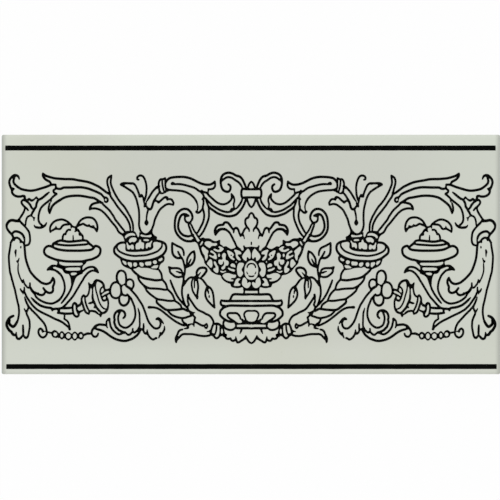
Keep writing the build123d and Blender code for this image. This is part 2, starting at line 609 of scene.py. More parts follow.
@dataclass
class FlowerBasket(Motif):
    """The basket of flowers and fruit in the middle, drawn as ink with the bare petals left in it."""

    name: str = "flower_basket"
    on_axis: bool = True
    marks: tuple[Mark, ...] = (
        # The inked mass that the petals are left in
        blot("-1,4.4 0.2,4.4 1.2,4.25 2.3,4.15 3,4.3 3.3,4.9 3.9,5 4.1,4.4 3.9,3.8 3.8,3 4.1,2.4 4.7,2.5 "
             "5.3,3.4 6.1,4 6.8,4.6 7.6,4.3 8.3,3.7 9.2,3.35 10,3.2 10.9,3.6 11.6,4 12.3,4.5 13,4.55 "
             "14,4.4 14.5,5.1 15.3,5.4 15.5,6.2 15.5,7.6 16,7.8 16.7,7.4 17.8,7.1 18.8,7.3 19.9,8 21,8.5 "
             "22.3,8.55 23.2,8.55 23.8,8.95 24.5,8.7 25.3,8.2 25.8,7.3 26.3,6.9 27.2,6.9 28,6.8 27.2,6 "
             "26.7,5.1 26.4,4.1 26.1,3.2 25.7,1.7 25.1,0.2 24.5,-0.9 23.9,-1.9 23.6,-2.8 23.5,-3.7 23,-4.5 "
             "22,-5.6 20.9,-6.9 20.2,-7.9 19.4,-8.6 18.2,-9.3 17,-9.8 15.6,-10 15.1,-10.5 15,-11.2 "
             "14.3,-12.2 13,-13.3 11.6,-14 10.5,-14.4 10.2,-15.2 9.8,-15.9 8.5,-16.3 7,-16.5 5.5,-16.3 "
             "4.5,-16 3.6,-16.9 1.5,-17.2 -1,-17.3 -3,-6"),
        blot("24,8.8 24.8,8.8 25.5,8.2 25.8,7.2 26.4,6.8 27.2,7 28,7.8 29,7.8 29.4,7 28.4,6.7 27.3,6.4 "
             "26.4,5.9 25.6,6.2 25.2,7.4"),
        # The petals and leaves round the rosette
        gap("1.6,3.3 2.2,2.8 2.8,2.1 3.6,1.1 4.2,0.2 4.5,-0.7 4.1,-1.6 3.5,-2.3 2.8,-2.8 2.4,-2.7 2.3,-1.9 "
            "2.2,-1.2 1.8,-0.8 1.4,-1.2 1.1,-1.6 0.6,-1.7 0.3,-1 0.2,0.3 0.5,1.7 1,2.7"),
        gap("5,0.8 5.2,1.6 6,2.15 7,2.6 8,2.8 8.5,2.5 8.1,1.6 7.8,0.8 7.7,-0.2 7.4,-1.2 6.9,-2 6.2,-2.45 "
            "5.5,-2.5 5.2,-2.2 5.6,-1.6 6,-1 6.5,-0.5 6.8,0.1 6.4,0.5 5.6,0.5"),
        Gap(oval(7.5, -3.3, 0.25, 0.45)),
        gap("8.7,0.3 9,0.9 9.6,1.5 10.5,2 11.4,2.4 12,2.4 11.9,1.5 11.5,0.4 11.1,-0.6 10.3,-1.6 9.3,-2.2 "
            "8.5,-2.4 8.3,-2 8.7,-1.5 9.3,-1.1 9.2,-0.5 8.8,-0.2"),
        Blot(oval(10, 0, 0.4, 0.4)),
        gap("12.7,0.4 13,1 13.6,1.2 14.2,0.8 14.6,0 14.5,-0.9 14.2,-1.7 14.6,-2.2 15.4,-2.2 16.2,-2.3 "
            "16.4,-3 16.2,-3.9 15.6,-4.6 15,-4.7 14.4,-4.3 14.1,-3.5 13.9,-2.9 13.6,-3.3 13.5,-4.4 "
            "13.9,-5.3 14.6,-5.8 14.9,-6.4 14.6,-7 13.9,-7 13.2,-6.5 13,-5.7 12.6,-5.1 12,-5.2 11.5,-4.7 "
            "11.3,-3.9 11.4,-3.1 12,-2.6 12.6,-2.4 12.9,-1.7 12.8,-0.8"),
        Gap(oval(16.1, 0.0, 0.5, 0.85)),
        gap("13.7,3.2 14.3,3.8 15,4.2 15.8,4.5 16.4,4.2 16.1,3.8 15.7,3.4 15.9,2.8 16.7,2.7 17.7,3.1 "
            "18.4,3.3 18.9,2.9 18.5,2.5 17.7,2.1 16.8,1.7 15.9,1.7 15,1.9 14.3,2.5"),
        gap("17.4,-0.1 17.7,0.7 18.3,1.4 19,1.9 19.8,2.4 20.3,2.2 20.4,1.7 19.8,1.3 19,0.9 18.5,0.4 "
            "18.6,-0.1 19.2,-0.4 20,-0.1 20.6,0.2 21,-0.1 20.6,-0.6 19.8,-1 18.9,-1.5 18,-1.9 17.4,-1.9 "
            "17.2,-1.2"),
        gap("21.4,1.7 21.6,2.4 22.3,2.9 23,3.5 23.6,4 24.2,4.35 24.75,3.8 24.75,2.8 24.4,1.8 23.9,0.8 "
            "23.3,-0.1 23.1,-0.9 23,-1.8 22.7,-2.6 22.3,-2.4 22,-1.7 21.7,-0.9 21.7,0 21.8,0.8"),
        gap("17.9,-3.2 18.4,-3 18.7,-3.3 18.6,-4 18.2,-4.9 17.8,-5.5 17.7,-6.1 18.2,-6.4 18.8,-6.6 "
            "18.9,-7.3 18.4,-8 17.7,-8.6 17,-8.8 16.5,-8.4 16.4,-7.6 16.4,-6.6 16.5,-5.8 17,-5 17.4,-4.2"),
        gap("19.5,-3.2 19.8,-2.4 20.4,-2 21,-2.3 21.4,-3 22,-3.7 22,-4.4 21.4,-5 20.8,-5.7 20.2,-6.2 "
            "19.7,-6 19.4,-5.2 19.4,-4.2"),
        gap("3.7,-4.2 4.2,-3.8 5.2,-3.7 6.1,-3.9 6.7,-4.7 7,-5.8 7.1,-7 7,-8.3 6.8,-9.5 6.3,-10.3 "
            "5.6,-10.8 5,-10.5 4.5,-9.9 4.1,-9.2 4.2,-8.4 4.7,-7.8 4.8,-6.9 4.4,-6.2 3.9,-5.3"),
        gap("8,-5.3 8.1,-4.8 8.8,-4.2 9.6,-4.1 10.2,-4.6 10.3,-5.3 9.8,-5.7 9,-5.8 8.4,-6.1 7.9,-6"),
        gap("8.1,-7.7 8.5,-7.1 9.3,-6.9 10.2,-6.7 10.9,-6.3 11.6,-6.2 11.6,-6.6 11.2,-7.1 10.4,-7.6 "
            "9.5,-7.9 8.6,-8.1"),
        gap("12.5,-7.7 13.2,-7.85 13.9,-8.05 14.7,-7.85 15.3,-7.7 15.5,-8.1 15,-8.5 14.2,-8.75 13.4,-8.45 "
            "12.7,-8.1"),
        gap("7.6,-10 8,-9.7 8.8,-9.7 9.8,-9.4 10.9,-9 12,-8.9 12.9,-9 13.8,-9.5 14.3,-10 14.2,-10.6 "
            "13.6,-11.4 12.9,-12.1 12,-12.6 10.9,-12.9 9.9,-13 9.1,-12.9 8.9,-12.5 9.2,-12.2 9.9,-12.1 "
            "10.3,-11.8 9.9,-11.4 8.9,-11.3 8.1,-11.2 7.7,-10.7"),
        gap("5.4,-12 5.9,-11.6 6.6,-11.5 7.3,-11.9 7.8,-12.6 8.1,-13.4 8.4,-14.2 8.7,-14.9 8.2,-15.3 "
            "7.2,-15.3 6.2,-15.3 5.5,-15 5.5,-14.4 6,-14.1 6.4,-13.8 6.5,-13.2 6.1,-12.6 5.7,-12.2"),
        gap("1.9,-14 2.1,-13 2.3,-12.2 2.8,-11.5 3.5,-11.1 4.1,-11.5 4.4,-12.4 4.6,-13.4 4.6,-14.4 "
            "4.1,-15.3 3.3,-16 2.3,-16.4 1.3,-16.1 0.6,-15.2 0.2,-14.3 0.3,-13.6 0.9,-13.4 1.5,-13.7"),
        # The fruit at the basket's corner and the knot beside it
        gap("17,5.7 17.6,6.1 18.6,6 19.6,6.2 20.4,6.8 21.4,7 22.4,6.9 23.1,6.5 23.3,5.8 23,5.1 22.4,4.6 "
            "21.6,4.1 20.9,3.7 20.4,3.9 20.1,4.4 19.2,4.8 18.2,4.7 17.4,5"),
        gap("24.1,6.9 24.45,7.1 24.9,6.6 25.3,5.8 25.55,5.1 25.3,4.9 24.9,5.3 24.3,6.1"),
        # The rosette on the axis, with its shading strokes
        gap("-0.8,-2.7 0.8,-2.8 2,-3.7 2.9,-5.1 3.3,-6.8 3.3,-8.4 3,-10 2.3,-11.3 1.3,-12 0,-12.2 -1.3,-12 "
            "-3,-8"),
        line("0,-4.1 0.9,-4.3 1.6,-4.9 2,-5.6 2,-6.1", Pen.FINE),
        line("2.2,-8.2 2,-9 1.6,-9.4", Pen.HAIR, start=0.6, end=0.6),
        line("0,-10.6 0.7,-10.5 1.3,-10.2", Pen.FINE, end=0.5),
    )


@dataclass
class VaseFoot(Motif):
    """The neck, steps, ribbed bowl and leafy base under the basket."""

    name: str = "vase_foot"
    on_axis: bool = True
    marks: tuple[Mark, ...] = (
        # The neck and the steps
        line("0,-17.3 1.6,-17.2 3,-17.2", Pen.FULL),
        line("3.7,-16.6 3.5,-17.6 3.5,-18.5 3.8,-19.2", Pen.LIGHT),
        line("0,-19.5 4,-19.6 8.4,-19.5 9.2,-19.8 9.8,-20.6 10.2,-21.6 10.8,-22.5", Pen.FULL),
        line("0,-22.85 7,-22.85 13.6,-22.8 14.9,-22.5", Pen.FULL),
        line("14.8,-22.5 15.2,-23.2 15.2,-24.2 14.8,-24.9 14,-25.4", Pen.FULL),
        line("0,-25.3 6,-25.2 11,-25.2 12.7,-25.7 14,-26.3 14.7,-27 15.3,-27.7 15.6,-28.9 15.45,-30 "
             "14.6,-31 13.6,-31.85 12.6,-32.5 11.3,-33.05 10.2,-33.35", Pen.FULL),
        blot("11.4,-24.9 12.8,-24.8 13.9,-24.6 14.7,-24.6 14.5,-25.4 14.3,-26.2 14,-26.6 12.8,-26 "
             "11.8,-25.4"),
        # The ribs of the bowl and the band under them
        line("0,-27.8 1.9,-27.8 2.9,-28.3 3.5,-29.3 3.5,-30.2 3.1,-31.2 2.6,-32.4", Pen.LIGHT),
        line("5.35,-31.8 5.6,-30.8 6.15,-29.9 6.85,-29.2 7.7,-28.9 9,-28.9 10.6,-28.9 11.5,-29.1 "
             "11.9,-29.8 11.7,-30.6 11,-31.4 9.8,-32.2 8.7,-32.9 7.7,-33.7 6.5,-34.3"),
        blot("0,-33.2 1.2,-33 2.1,-32.4 3,-32.35 3.8,-32.15 4.4,-31.6 5,-31.6 5,-32.6 4.6,-33.4 5.6,-33.8 "
             "6.6,-33.7 7.6,-33.2 8.1,-34 7.6,-34.7 5,-34.7 2,-34.6 0,-34.6"),
        line("8.2,-33.4 7.7,-34.4 7.6,-35.4 7.9,-36.3"),
        line("0,-36.6 1.5,-36.45 4,-36.45 6,-36.45 8.2,-36.4", Pen.FULL),
        line("12.4,-32.4 13.2,-32.5 13.75,-33.2 13.95,-34.4 13.6,-35.7 12.9,-36.5 11.7,-37.1 10.3,-37.35 "
             "9.1,-37.1 8.1,-36.4"),
        line("8.6,-33.3 10.4,-33.2 12.4,-32.5"),
        # The lobed leaves of the base
        line("4.6,-36.7 5.1,-37.9 5.6,-39.2", end=0.4),
        line("0,-43.95 1,-43.35 1.8,-42.3 2.4,-41.1 2.7,-40.2", end=0.6),
        line("2.7,-40.3 3.15,-41.2 3.9,-42.1 5,-42.75 6,-43.4 6.9,-43.5 7.4,-42.5 7.6,-41.4 "
             "7.7,-40.7", start=0.6, end=0.5),
        line("7.7,-40.9 7.9,-42.1 9,-42.8 10,-42.35 10.4,-41.6 11.3,-41.8 12.3,-41.6 12.9,-40.8 12.6,-39.9 "
             "13.4,-39.6", start=0.5),
        blot("2.2,-41.5 2.6,-40.1 3.3,-40.9 3.8,-42.1 2.9,-42.3"),
        blot("7.3,-42 7.7,-40.9 8.2,-42.2 8,-43 7.2,-43.2"),
        blot("12.1,-39.8 12.8,-39.6 13.6,-39.9 14.4,-40.6 13.2,-41 12.6,-40.8"),
    )


@dataclass
class RingedLeaf(Motif):
    """The long leaf beside the knot, held by a ring band."""

    name: str = "ringed_leaf"
    marks: tuple[Mark, ...] = (
        line("18.2,36.9 19.2,36 20.5,35.4 22,35.3 24,35.6 26,36.3 28,37.3 30,38.3 32,38.9 34,39.2 36,39.2 "
             "38,39.1 40,38.8 41,38.45 42,37.6 42.7,36.4", Pen.FULL),
        line("18.2,36.9 18,35.6 18.2,34.3 19,33.4 20.1,33.05 21.2,33.1"),
        blot("20.6,33.5 21.8,33.5 21.9,32.4 22.1,31.6 22.8,31.5 22.5,30.7 21.8,30.3 21.1,30.5 21.2,31.6 "
             "20.9,32.5"),
        line("23.5,31.6 24.8,31.8 26,32.1 27,32.9 28.4,33.75 30,34.25 31.5,34.7 33,35.1 35,35.5 37,35.6 "
             "38.4,35.5"),
        blot("24,32.3 24.7,32.9 25.5,32.4 26.1,32 25.3,31 24.6,30.4 24.1,30.3 24.2,31.2"),
        blot("22.1,28.2 22.6,28.9 23.4,29.7 23.9,29.7 24.1,28.8 24.6,28 24,27.6 23.5,28 23,27.9 22.6,27.4 "
             "22.1,27.4"),
        blot("38,35.1 37.9,35.9 38.6,36.6 39.5,36.8 40.2,36.2 40.3,35.5 39.8,35 39.2,35 38.7,35.1"),
        line("24.8,31.6 24.15,30.6 23.7,29.4 24,28.6 24.4,28"),
        line("23.9,28.6 23.85,27 23.9,25.5 24.2,24.2 24.05,22.8 23.7,21.6 23.5,20 23.7,18 24.3,16 "
             "25.2,14.3 26,12.7 26.9,11.2"),
        line("22.6,28.2 22.4,27.2 22,26 21.6,25 21.25,24 21.15,22 21.1,20 21.4,18 22.1,16 22.95,14 "
             "23.75,12.3 24.6,10.95 25.45,9.85 26.2,9.1"),
        line("24.3,23.3 25.2,22.2 26,21.45 26.8,21.2 27.5,21.6"),
        Blot(oval(27.2, 21.9, 0.75, 0.6)),
        line("27,22.3 26.8,23.2 26.7,24.2 26.85,25.3 27.3,26.7", Pen.FINE),
        Blot(oval(27.3, 21.85, 0.75, 0.65)),
        line("27,25.9 27.5,27.1 28.4,28.5 29.4,29.55 30.5,30.4 32.5,31.5 34,32 36,32.3 38,32.5 40,32.6 "
             "41.5,32.9 42.4,33.4"),
        blot("40.8,32.2 41.6,33.2 42.6,33.6 42.8,32.4 42.4,31.6 41.6,31.8"),
        line("43,38.6 44.3,38 45.2,38 45.8,37.4 46.2,36.4 46.3,35.4 46.2,34 46,33 45.9,31.6"),
        blot("43.2,31.8 44,31.5 44.7,31.5 45.1,32 45.5,32.6 46.3,32 46.4,31 45.6,30.6 44.2,30.5 43.3,30.9 "
             "42.6,31.4 42,32 42.6,32.7"),
        line("44.4,38 44.5,36.5 44.3,34.7 43.9,33 43.5,31.6", Pen.LIGHT),
        line("43,38.5 42.9,36.4 42.9,34.4 42.5,32.8 42.8,31.6"),
    )


@dataclass
class RibbonLoop(Motif):
    """The ribbon loop beside the basket, and the rod that it hangs from."""

    name: str = "ribbon_loop"
    marks: tuple[Mark, ...] = (
        line("29.5,17.8 29.35,18.8 29.5,19.9 29.95,21.1 30.8,22.2 31.9,23 33.3,23.2 34.7,22.9 36,22 "
             "37,20.8 37.7,19.3 38.05,17.6 38.2,15.6 38.15,13.6 37.75,12 37.1,10.7 36.1,9.4 35,8.4 "
             "33.7,7.6 32.2,7.1 30.6,7 29,7.2 28,7.4", Pen.FULL),
        line("31.3,19.8 32.3,20.3 33.5,20.6 34.5,20.3 35.35,19.4 35.85,18.2 36.25,16.8 36.5,15.2 36.5,13.9 "
             "36.2,12.8 35.7,11.8 34.9,10.8 33.8,10 32.5,9.6 31.2,9.5 30.2,9.8", Pen.FULL),
        line("32.95,19.8 33.15,19 33.15,18 32.8,17.1 32.1,16.5 31.2,16.3 30.5,16.5 30,17.2 29.6,18.2"),
        blot("31.1,19.7 31.8,20.5 33,21 34.2,20.8 33.9,20 33.6,19.2 32.8,18.9 32,19.1 31.3,19.2"),
        line("30.4,15.9 29.75,14.9 29.3,13.8 28.75,12.7 28.2,11.8 27.5,10.9 26.9,9.9 26.1,8.8 "
             "25.5,7.8", Pen.LIGHT),
        line("31.4,15.7 31.2,14.8 30.85,13.8 30.5,12.9 30.15,11.9 29.8,11 29.3,10 28.6,9 28,8.1 27.7,7.4"),
        blot("28.7,10.7 30.1,10.5 30.9,9.8 29.9,9.2 28.9,9 29.1,8.4 29.9,7.9 29.2,7.4 28.2,7.3 27.2,6.5 "
             "26.6,6.5 27.1,7.3 27.7,8.2 28.3,9.3"),
        blot("26.9,11.2 27.5,11.8 28.3,11.9 28.2,11.1 27.5,10.1 26.9,10.3"),
    )


@dataclass
class LaurelBranch(Motif):
    """The branch of pointed leaves that hangs beside the basket."""

    name: str = "laurel_branch"
    marks: tuple[Mark, ...] = (
        # The leaves on the branch's right, and the tendril under them
        line("33.65,0 33.7,1.2 34,2.4 34.65,3.45 35.7,4.15 36.8,4.6 37.9,5.2 39,5.9"),
        line("39.4,6 39.55,5.1 39.55,4 39.5,2.2 39.25,0.8 38.6,-0.25 37.7,-1 36.7,-1.4 35.6,-1.35 "
             "34.6,-1.4", Pen.FULL),
        blot("38.2,5.6 38.8,6.4 39.4,6.7 39.9,6.5 40.1,5.5 39.7,4.6 39,5.2"),
        line("35,-1 35.45,-0.3 35.95,0.5 36.3,1.2 36.55,1.8", end=0.9),
        line("34.6,-8.2 34.9,-7.5 35.8,-6.75 36.9,-6.45 38.3,-6.4 39.6,-6.4 41,-5.9"),
        line("41.1,-6.2 40.8,-7.2 40.6,-8.2 40,-9.1 39.1,-9.8 38.2,-10.5 37.4,-10.8 36.3,-10.9 35.2,-10.75 "
             "34.2,-10.4"),
        blot("39.8,-6 40.7,-5.9 41.4,-5.4 41.7,-5.9 41.4,-6.7 40.9,-7.4 40.3,-7.4 39.8,-6.9"),
        line("34.3,-8.7 35.6,-8.7 36.5,-8.3 37.5,-8.1", Pen.LIGHT, end=0.5),
        line("40.4,-12.5 40.1,-13.5 39.6,-14.7 39.1,-15.9 38.5,-17.3 37.6,-19.2 36.5,-21.1 35.4,-22.6 "
             "34.4,-23.8 33.4,-24.8 32.6,-25.7"),
        Blot(oval(39.4, -15.9, 0.45, 0.45)),
        # The stem and the narrow leaves on its left
        line("34.9,-1.4 34.2,-2.2 33.85,-3.3 33.55,-4.4 33.3,-5.5 33.1,-7 33.2,-8.4 33.4,-9.6 33.7,-10.7 "
             "33.8,-12.2 34,-13.9 34.4,-15.5 34.65,-17.9 34.6,-19.5 34.3,-21 34,-22.2 33.6,-23.5 33,-25 "
             "32.3,-26.1"),
        blot("34.2,-8.7 34.7,-8.1 35.1,-8.7 34.9,-9.5 34.8,-10.6 34.5,-11.3 34,-12 33.6,-11 33.7,-9.9 "
             "34,-9.3"),
        line("28.5,1.9 29.2,1.75 30,1.2 30.75,0.35 31.45,-0.7 31.95,-1.8 32.15,-3.2 32.2,-4.5"),
        blot("28.1,2.3 28.5,2.6 29.2,2.3 29.8,1.7 29.2,1.2 28.9,0.7 28.2,0.6"),
        line("28.5,2 28.3,0.6 28.25,-1 28.5,-2.4 29.1,-3.7 29.9,-4.7 30.8,-5.3", Pen.FULL),
        line("30.1,-1.9 30.6,-2.9 31,-3.7 31.25,-4.4", Pen.LIGHT, start=0.6),
        blot("30.3,-5.5 31.2,-4.9 32.2,-4.4 33,-4.6 33.6,-5.3 33.5,-6.8 32.9,-6.9 32.3,-6.5 31.6,-6.2 "
             "30.8,-5.9"),
        line("27.2,-9.9 27.9,-10.7 28.8,-11.1 30,-11 31,-11.4 31.9,-12.2 32.6,-13.1 33.3,-14.2 34,-15.3"),
        blot("32.8,-12.6 33.8,-12.2 34.4,-15.4 33.9,-15.2 33.3,-14"),
        # The curled leaf beside the basket, and the leaves that hang from it
        line("24.9,-11 23.8,-9.9 22.9,-8.7 22.3,-7.5 22.7,-6.6 23.7,-6.2 24.8,-6.2 26,-6.6 26.9,-7.6 "
             "27.3,-8.7 27.2,-9.8", Pen.FULL),
        line("25.3,-8.6 25.9,-9.3 26.5,-10.1 27,-10.9", Pen.FINE, start=0.5, end=1.0),
        blot("24.4,-11.2 25.4,-11 26.4,-10.7 27.2,-9.8 28.2,-10.5 29.3,-10.9 30.3,-11.2 29.4,-11.9 "
             "28.3,-12.1 27.2,-12.2 26.2,-11.8 25.2,-12.1"),
        line("25,-11.8 24.2,-12.4 23.5,-13.3 22.9,-14.1 22.3,-15 21.4,-15.7 20.6,-16.2 20.05,-16.85 "
             "19.5,-17.8 19.1,-19.1 18.85,-20.7 18.7,-22.5 18.55,-24.3 18.35,-25.8"),
        line("21.9,-15.4 22.4,-16.7 22.85,-18.2 22.95,-19.7 22.5,-21.4 21.6,-22.9 20.4,-24.2 19.2,-25.4 "
             "18.3,-26.2"),
        blot("18,-24.6 18.6,-24.8 19.5,-24.9 19.2,-25.9 18.3,-26.7 17.9,-25.8"),
        blot("20.6,-16 21.8,-15.4 22.6,-16.4 22.8,-17.4 22.2,-17.6 21.5,-17.6 21.2,-16.9"),
        line("22,-17 21.5,-18.1 21.3,-19.2", Pen.LIGHT, end=0.6),
        Blot(oval(21.0, -20.6, 0.42, 0.8)),
        line("27,-11.9 26.8,-13.5 26.55,-15 26.55,-16.5 26.7,-17.7 26.9,-19.1 27,-20.4 27.1,-21.4"),
        line("28.35,-12 28.4,-13.5 28.4,-15 28.4,-16.2", Pen.FINE, end=0.8),
        blot("27.2,-12 28.4,-12 28.3,-12.9 27.9,-13 27.5,-12.9"),
        line("29.3,-12 29.7,-13.3 29.8,-14.8 29.6,-16.2 29.2,-17.9 28.6,-19 27.9,-20.1 "
             "27.2,-21.2", Pen.LIGHT),
        blot("26.4,-20.2 27.3,-19.9 28.2,-19.8 27.8,-21 27.1,-22.2 26.5,-21.8"),
    )


@dataclass
class HornMouth(Motif):
    """The side of the base next to the bowl, and the open mouth of the horn that rises from it."""

    name: str = "horn_mouth"
    marks: tuple[Mark, ...] = (
        # The leaf between the bowl and the horn
        line("13.9,-36.8 13.8,-38.1 13.5,-39 13.5,-39.7 14.1,-39.8 15,-39.9 15.8,-40.3 16.5,-41.1 "
             "17.3,-41.5 18.1,-41.1 18.7,-40.3 19.9,-39.7"),
        line("18,-39.3 18.8,-39.6 19.6,-39.2"),
        line("13.9,-34.9 14.4,-35.6 15.1,-35.3 15.7,-34.8 16.3,-34.4 17.1,-34.2 18.2,-34.3 "
             "18.9,-34.3", Pen.FULL),
        blot("13.9,-35.6 14.6,-35.4 15.4,-35.2 15.9,-36 15.9,-38 16.2,-40.2 14.6,-40.1 13.6,-39.9 13.4,-39 "
             "13.9,-37.5"),
        blot("12.1,-39.3 13,-39.5 13.7,-40.2 13,-41 12.4,-40.5"),
        gap("14.3,-37.2 14.7,-36.7 15,-37.4 15,-38.8 14.6,-39.2 14.2,-38.6"),
        line("17.3,-34.3 17.4,-36.8 17.7,-38.3 18.2,-39.8", Pen.LIGHT, end=0.6),
        # The horn's rim and the leaf that folds over it
        line("31.6,-20.3 30.8,-21.7 30,-22.9 29.6,-23.5 28.8,-24.7 27.9,-26 26.7,-27.2 25.4,-27.9 24,-28.5 "
             "22.7,-29.3 21.3,-29.9 20.2,-30.8 19.4,-32 18.9,-33.1 18.9,-34.3 19.45,-35.6 19.9,-37 "
             "20.1,-38.3 20.3,-39.7 21.5,-40.2 23.1,-40.4 25,-40.3 26.9,-39.95 28.5,-39.6 30,-39.4 "
             "31.9,-39.4 33.8,-39.4 34.8,-39.8 35.6,-40.6 36.3,-41.4 37.1,-42.3"),
        blot("20,-36.9 20.7,-37.2 21.4,-37.7 22.1,-37.9 22.3,-38.2 22,-38.5 21.2,-38.4 20.9,-38.8 "
             "20.8,-39.6 20.2,-39.9"),
        line("22.3,-34.3 23.1,-34.9 23.8,-35.2 25,-34.95 26.3,-34.2 27.4,-33.6 28.4,-33.1"),
        line("22.4,-34.2 22,-34.9 21.95,-35.7 22.4,-36.4 22.9,-36.2 23.5,-35.3", Pen.LIGHT),
        line("29,-30.2 28.3,-30.8 28.1,-31.4 28.4,-32.3 28.5,-33.2 28.7,-34.2 28.6,-35.5", end=0.6),
        Blot(oval(28.1, -31.1, 0.65, 0.5)),
        Blot(oval(28.2, -33, 0.6, 0.5)),
        blot("28.4,-34 29.2,-34 30.1,-34 30.3,-34.5 29.4,-34.9 28.9,-35.2 28.4,-35.1"),
        # The small leaf at the horn's lower side
        line("30,-34.3 31.2,-34.8 32.3,-35", start=0.6),
        blot("30.9,-34.9 31.7,-34.5 32.4,-33.8 33.4,-33.4 33.6,-34.3 33.8,-34.9 33.4,-35.4 32.6,-35.5 "
             "32.3,-35.9 33,-36.2 33.8,-36.6 33.6,-37 32.6,-37 31.6,-36.9 31,-36.5 31,-35.7"),
        line("34.4,-37.1 35.4,-37.35 36.3,-38.1 36.75,-39.3 37.2,-40.2 37.7,-41.4 37.5,-43"),
        blot("36,-40.9 36.8,-40.2 37.6,-40.2 38.2,-41 38.3,-42.3 38,-43.6 37.5,-44 37,-43.5 36.8,-42.6 "
             "36.2,-41.8"),
    )


@dataclass
class Tulip(Motif):
    """The long-necked flower that rises beside the ribbon."""

    name: str = "tulip"
    marks: tuple[Mark, ...] = (
        line("45.9,34.6 47.2,34.1 48.3,32.95 49.35,31.75 50.25,30.35 51.05,29 51.75,27.8 "
             "52.2,27.1", end=0.7),
        line("52.3,27.2 52.6,26.3", Pen.HAIR),
        blot("46.2,35.4 47,34.8 47.9,34.1 48.2,33.1 47.4,33 46.7,33.2 46.1,33.6"),
        line("45.9,31.3 47,29.95 47.9,28.6"),
        line("47.6,28.9 48.2,28 48.7,27 49.1,26 49.35,25 49.7,23.9 50.3,23.1 51.2,23.05 51.9,23.7 "
             "52.4,24.5", Pen.FULL),
        blot("52.1,26.4 52.9,26.4 53.8,26.6 53.8,25.4 53.9,24.4 53.5,23.8 52.9,24.1 52.3,23.9 51.9,24.3 "
             "52.2,25.2"),
        blot("45.8,27.4 46.7,27.4 47.6,27.9 48.8,27.3 48.9,26.2 48.4,26.3 47.8,26.8 47.1,26.7 46.5,25.9 "
             "46,26.2"),
        blot("41.2,28.6 41.8,29.3 42.6,29.6 43.3,29.2 43,28.5 42.5,27.9 42.2,27.3 41.6,27.4 41.5,27.9"),
        line("39.1,25.2 38.8,26 39.2,27 39.9,27.9 41,28.1 42,27.6", end=0.6),
        line("42,29 42.6,29.2 43.7,28.7 44.7,27.8 45.6,27 46.4,26.4 47,27 48.2,27.4"),
        line("39,25.2 40,25.5 41.2,25.65 42.6,25.3 44,24.3 45.4,23.1 46.2,22 46.75,20.9 47.5,19.4 48.1,18 "
             "48.45,16.8 48.7,15.6 49.05,14.6 49.5,13.4 49.8,12.4 49.8,11.4 49.4,10.3 48.4,9.4"),
        line("51.4,23.4 51.6,22.5 51.9,21.4 52.2,20 52.35,18.4", Pen.LIGHT, start=1.2),
        blot("52.1,18.6 51.8,17.6 51.3,16.6 51.4,15.7 52,14.9 52.5,14.8 53.1,15.3 53.5,16.2 53.2,17.1 "
             "52.8,17.9 52.7,18.8"),
        line("53.45,27.1 53.1,28.1 52.75,29.3 52.5,30.5 52.4,32 52.3,33.5 52.5,35.5 52.8,36.8 53.3,38.2 "
             "54.2,39.5 55.3,39.9 56.4,39.6 57,38.8 56.9,38 56.3,37.8"),
        blot("58.2,36 59.3,36.6 60.3,36.5 61.5,36.6 63,36.7 64.3,36.6 65.2,36.2 65.6,35.5 64.6,35 "
             "63.4,34.9 62.8,35.4 61.5,35.7 60.6,35.3 59.6,35.3 58.7,35.6"),
        line("54.2,29.3 54.8,29.8 55.7,29.9 56.2,31 56.8,32.6 57.4,34 58,35.1 59,35.9 60.2,36 62,36 64,36 "
             "65.2,35.4 64,34.7 62.5,33.8 61.1,32.9 60.15,32.25 59.25,31.5 58.5,30.4 57.9,29.2 57.35,27.8 "
             "56.75,25.5 56.25,23.2 56.05,21 56,18 56.1,15.2 55.9,14 55.6,12.9 55.1,11.9 54.4,11.1 "
             "53.5,10.6 52.6,10.5 51.7,10.8 50.8,11.5 49.9,12.8"),
        line("54.4,29.7 54.05,29 53.85,28 53.7,27 53.5,26.2", Pen.LIGHT),
        blot("53.9,29.4 54.2,30.3 54.7,30.75 55.5,30.55 56.1,30.8 56.5,30 56.2,28.9 55.2,28.8 54.4,29.1"),
    )


@dataclass
class BladeLeaves(Motif):
    """The two long blades that cross and rise from the shell."""

    name: str = "blade_leaves"
    marks: tuple[Mark, ...] = (
        line("69.9,39.9 69.95,39 70.2,37.6 70.25,36.3 69.95,34.9 69.5,33.7 68.8,32.1 67.7,30 66.5,28 65,26 "
             "63.5,24.3 62.2,22.3 61.3,20.7 60.5,19.3 59.95,18 59.5,16.8 59.15,15.4 59.05,14 59,12.4"),
        line("69.9,39.9 70.7,39.4 71.4,38.8 71.8,38 72,37 71.9,35.8 71.6,34.5 71.15,33.1 70.9,31.8 "
             "70.6,30.5 70.1,29.2 69.3,28 68.5,26.9 67.35,25.1 65.6,22.8 64.4,21.3 63.3,20 62.3,18.6 "
             "61.6,17.3 61,16 60.6,14.6 60.4,12.4"),
    )


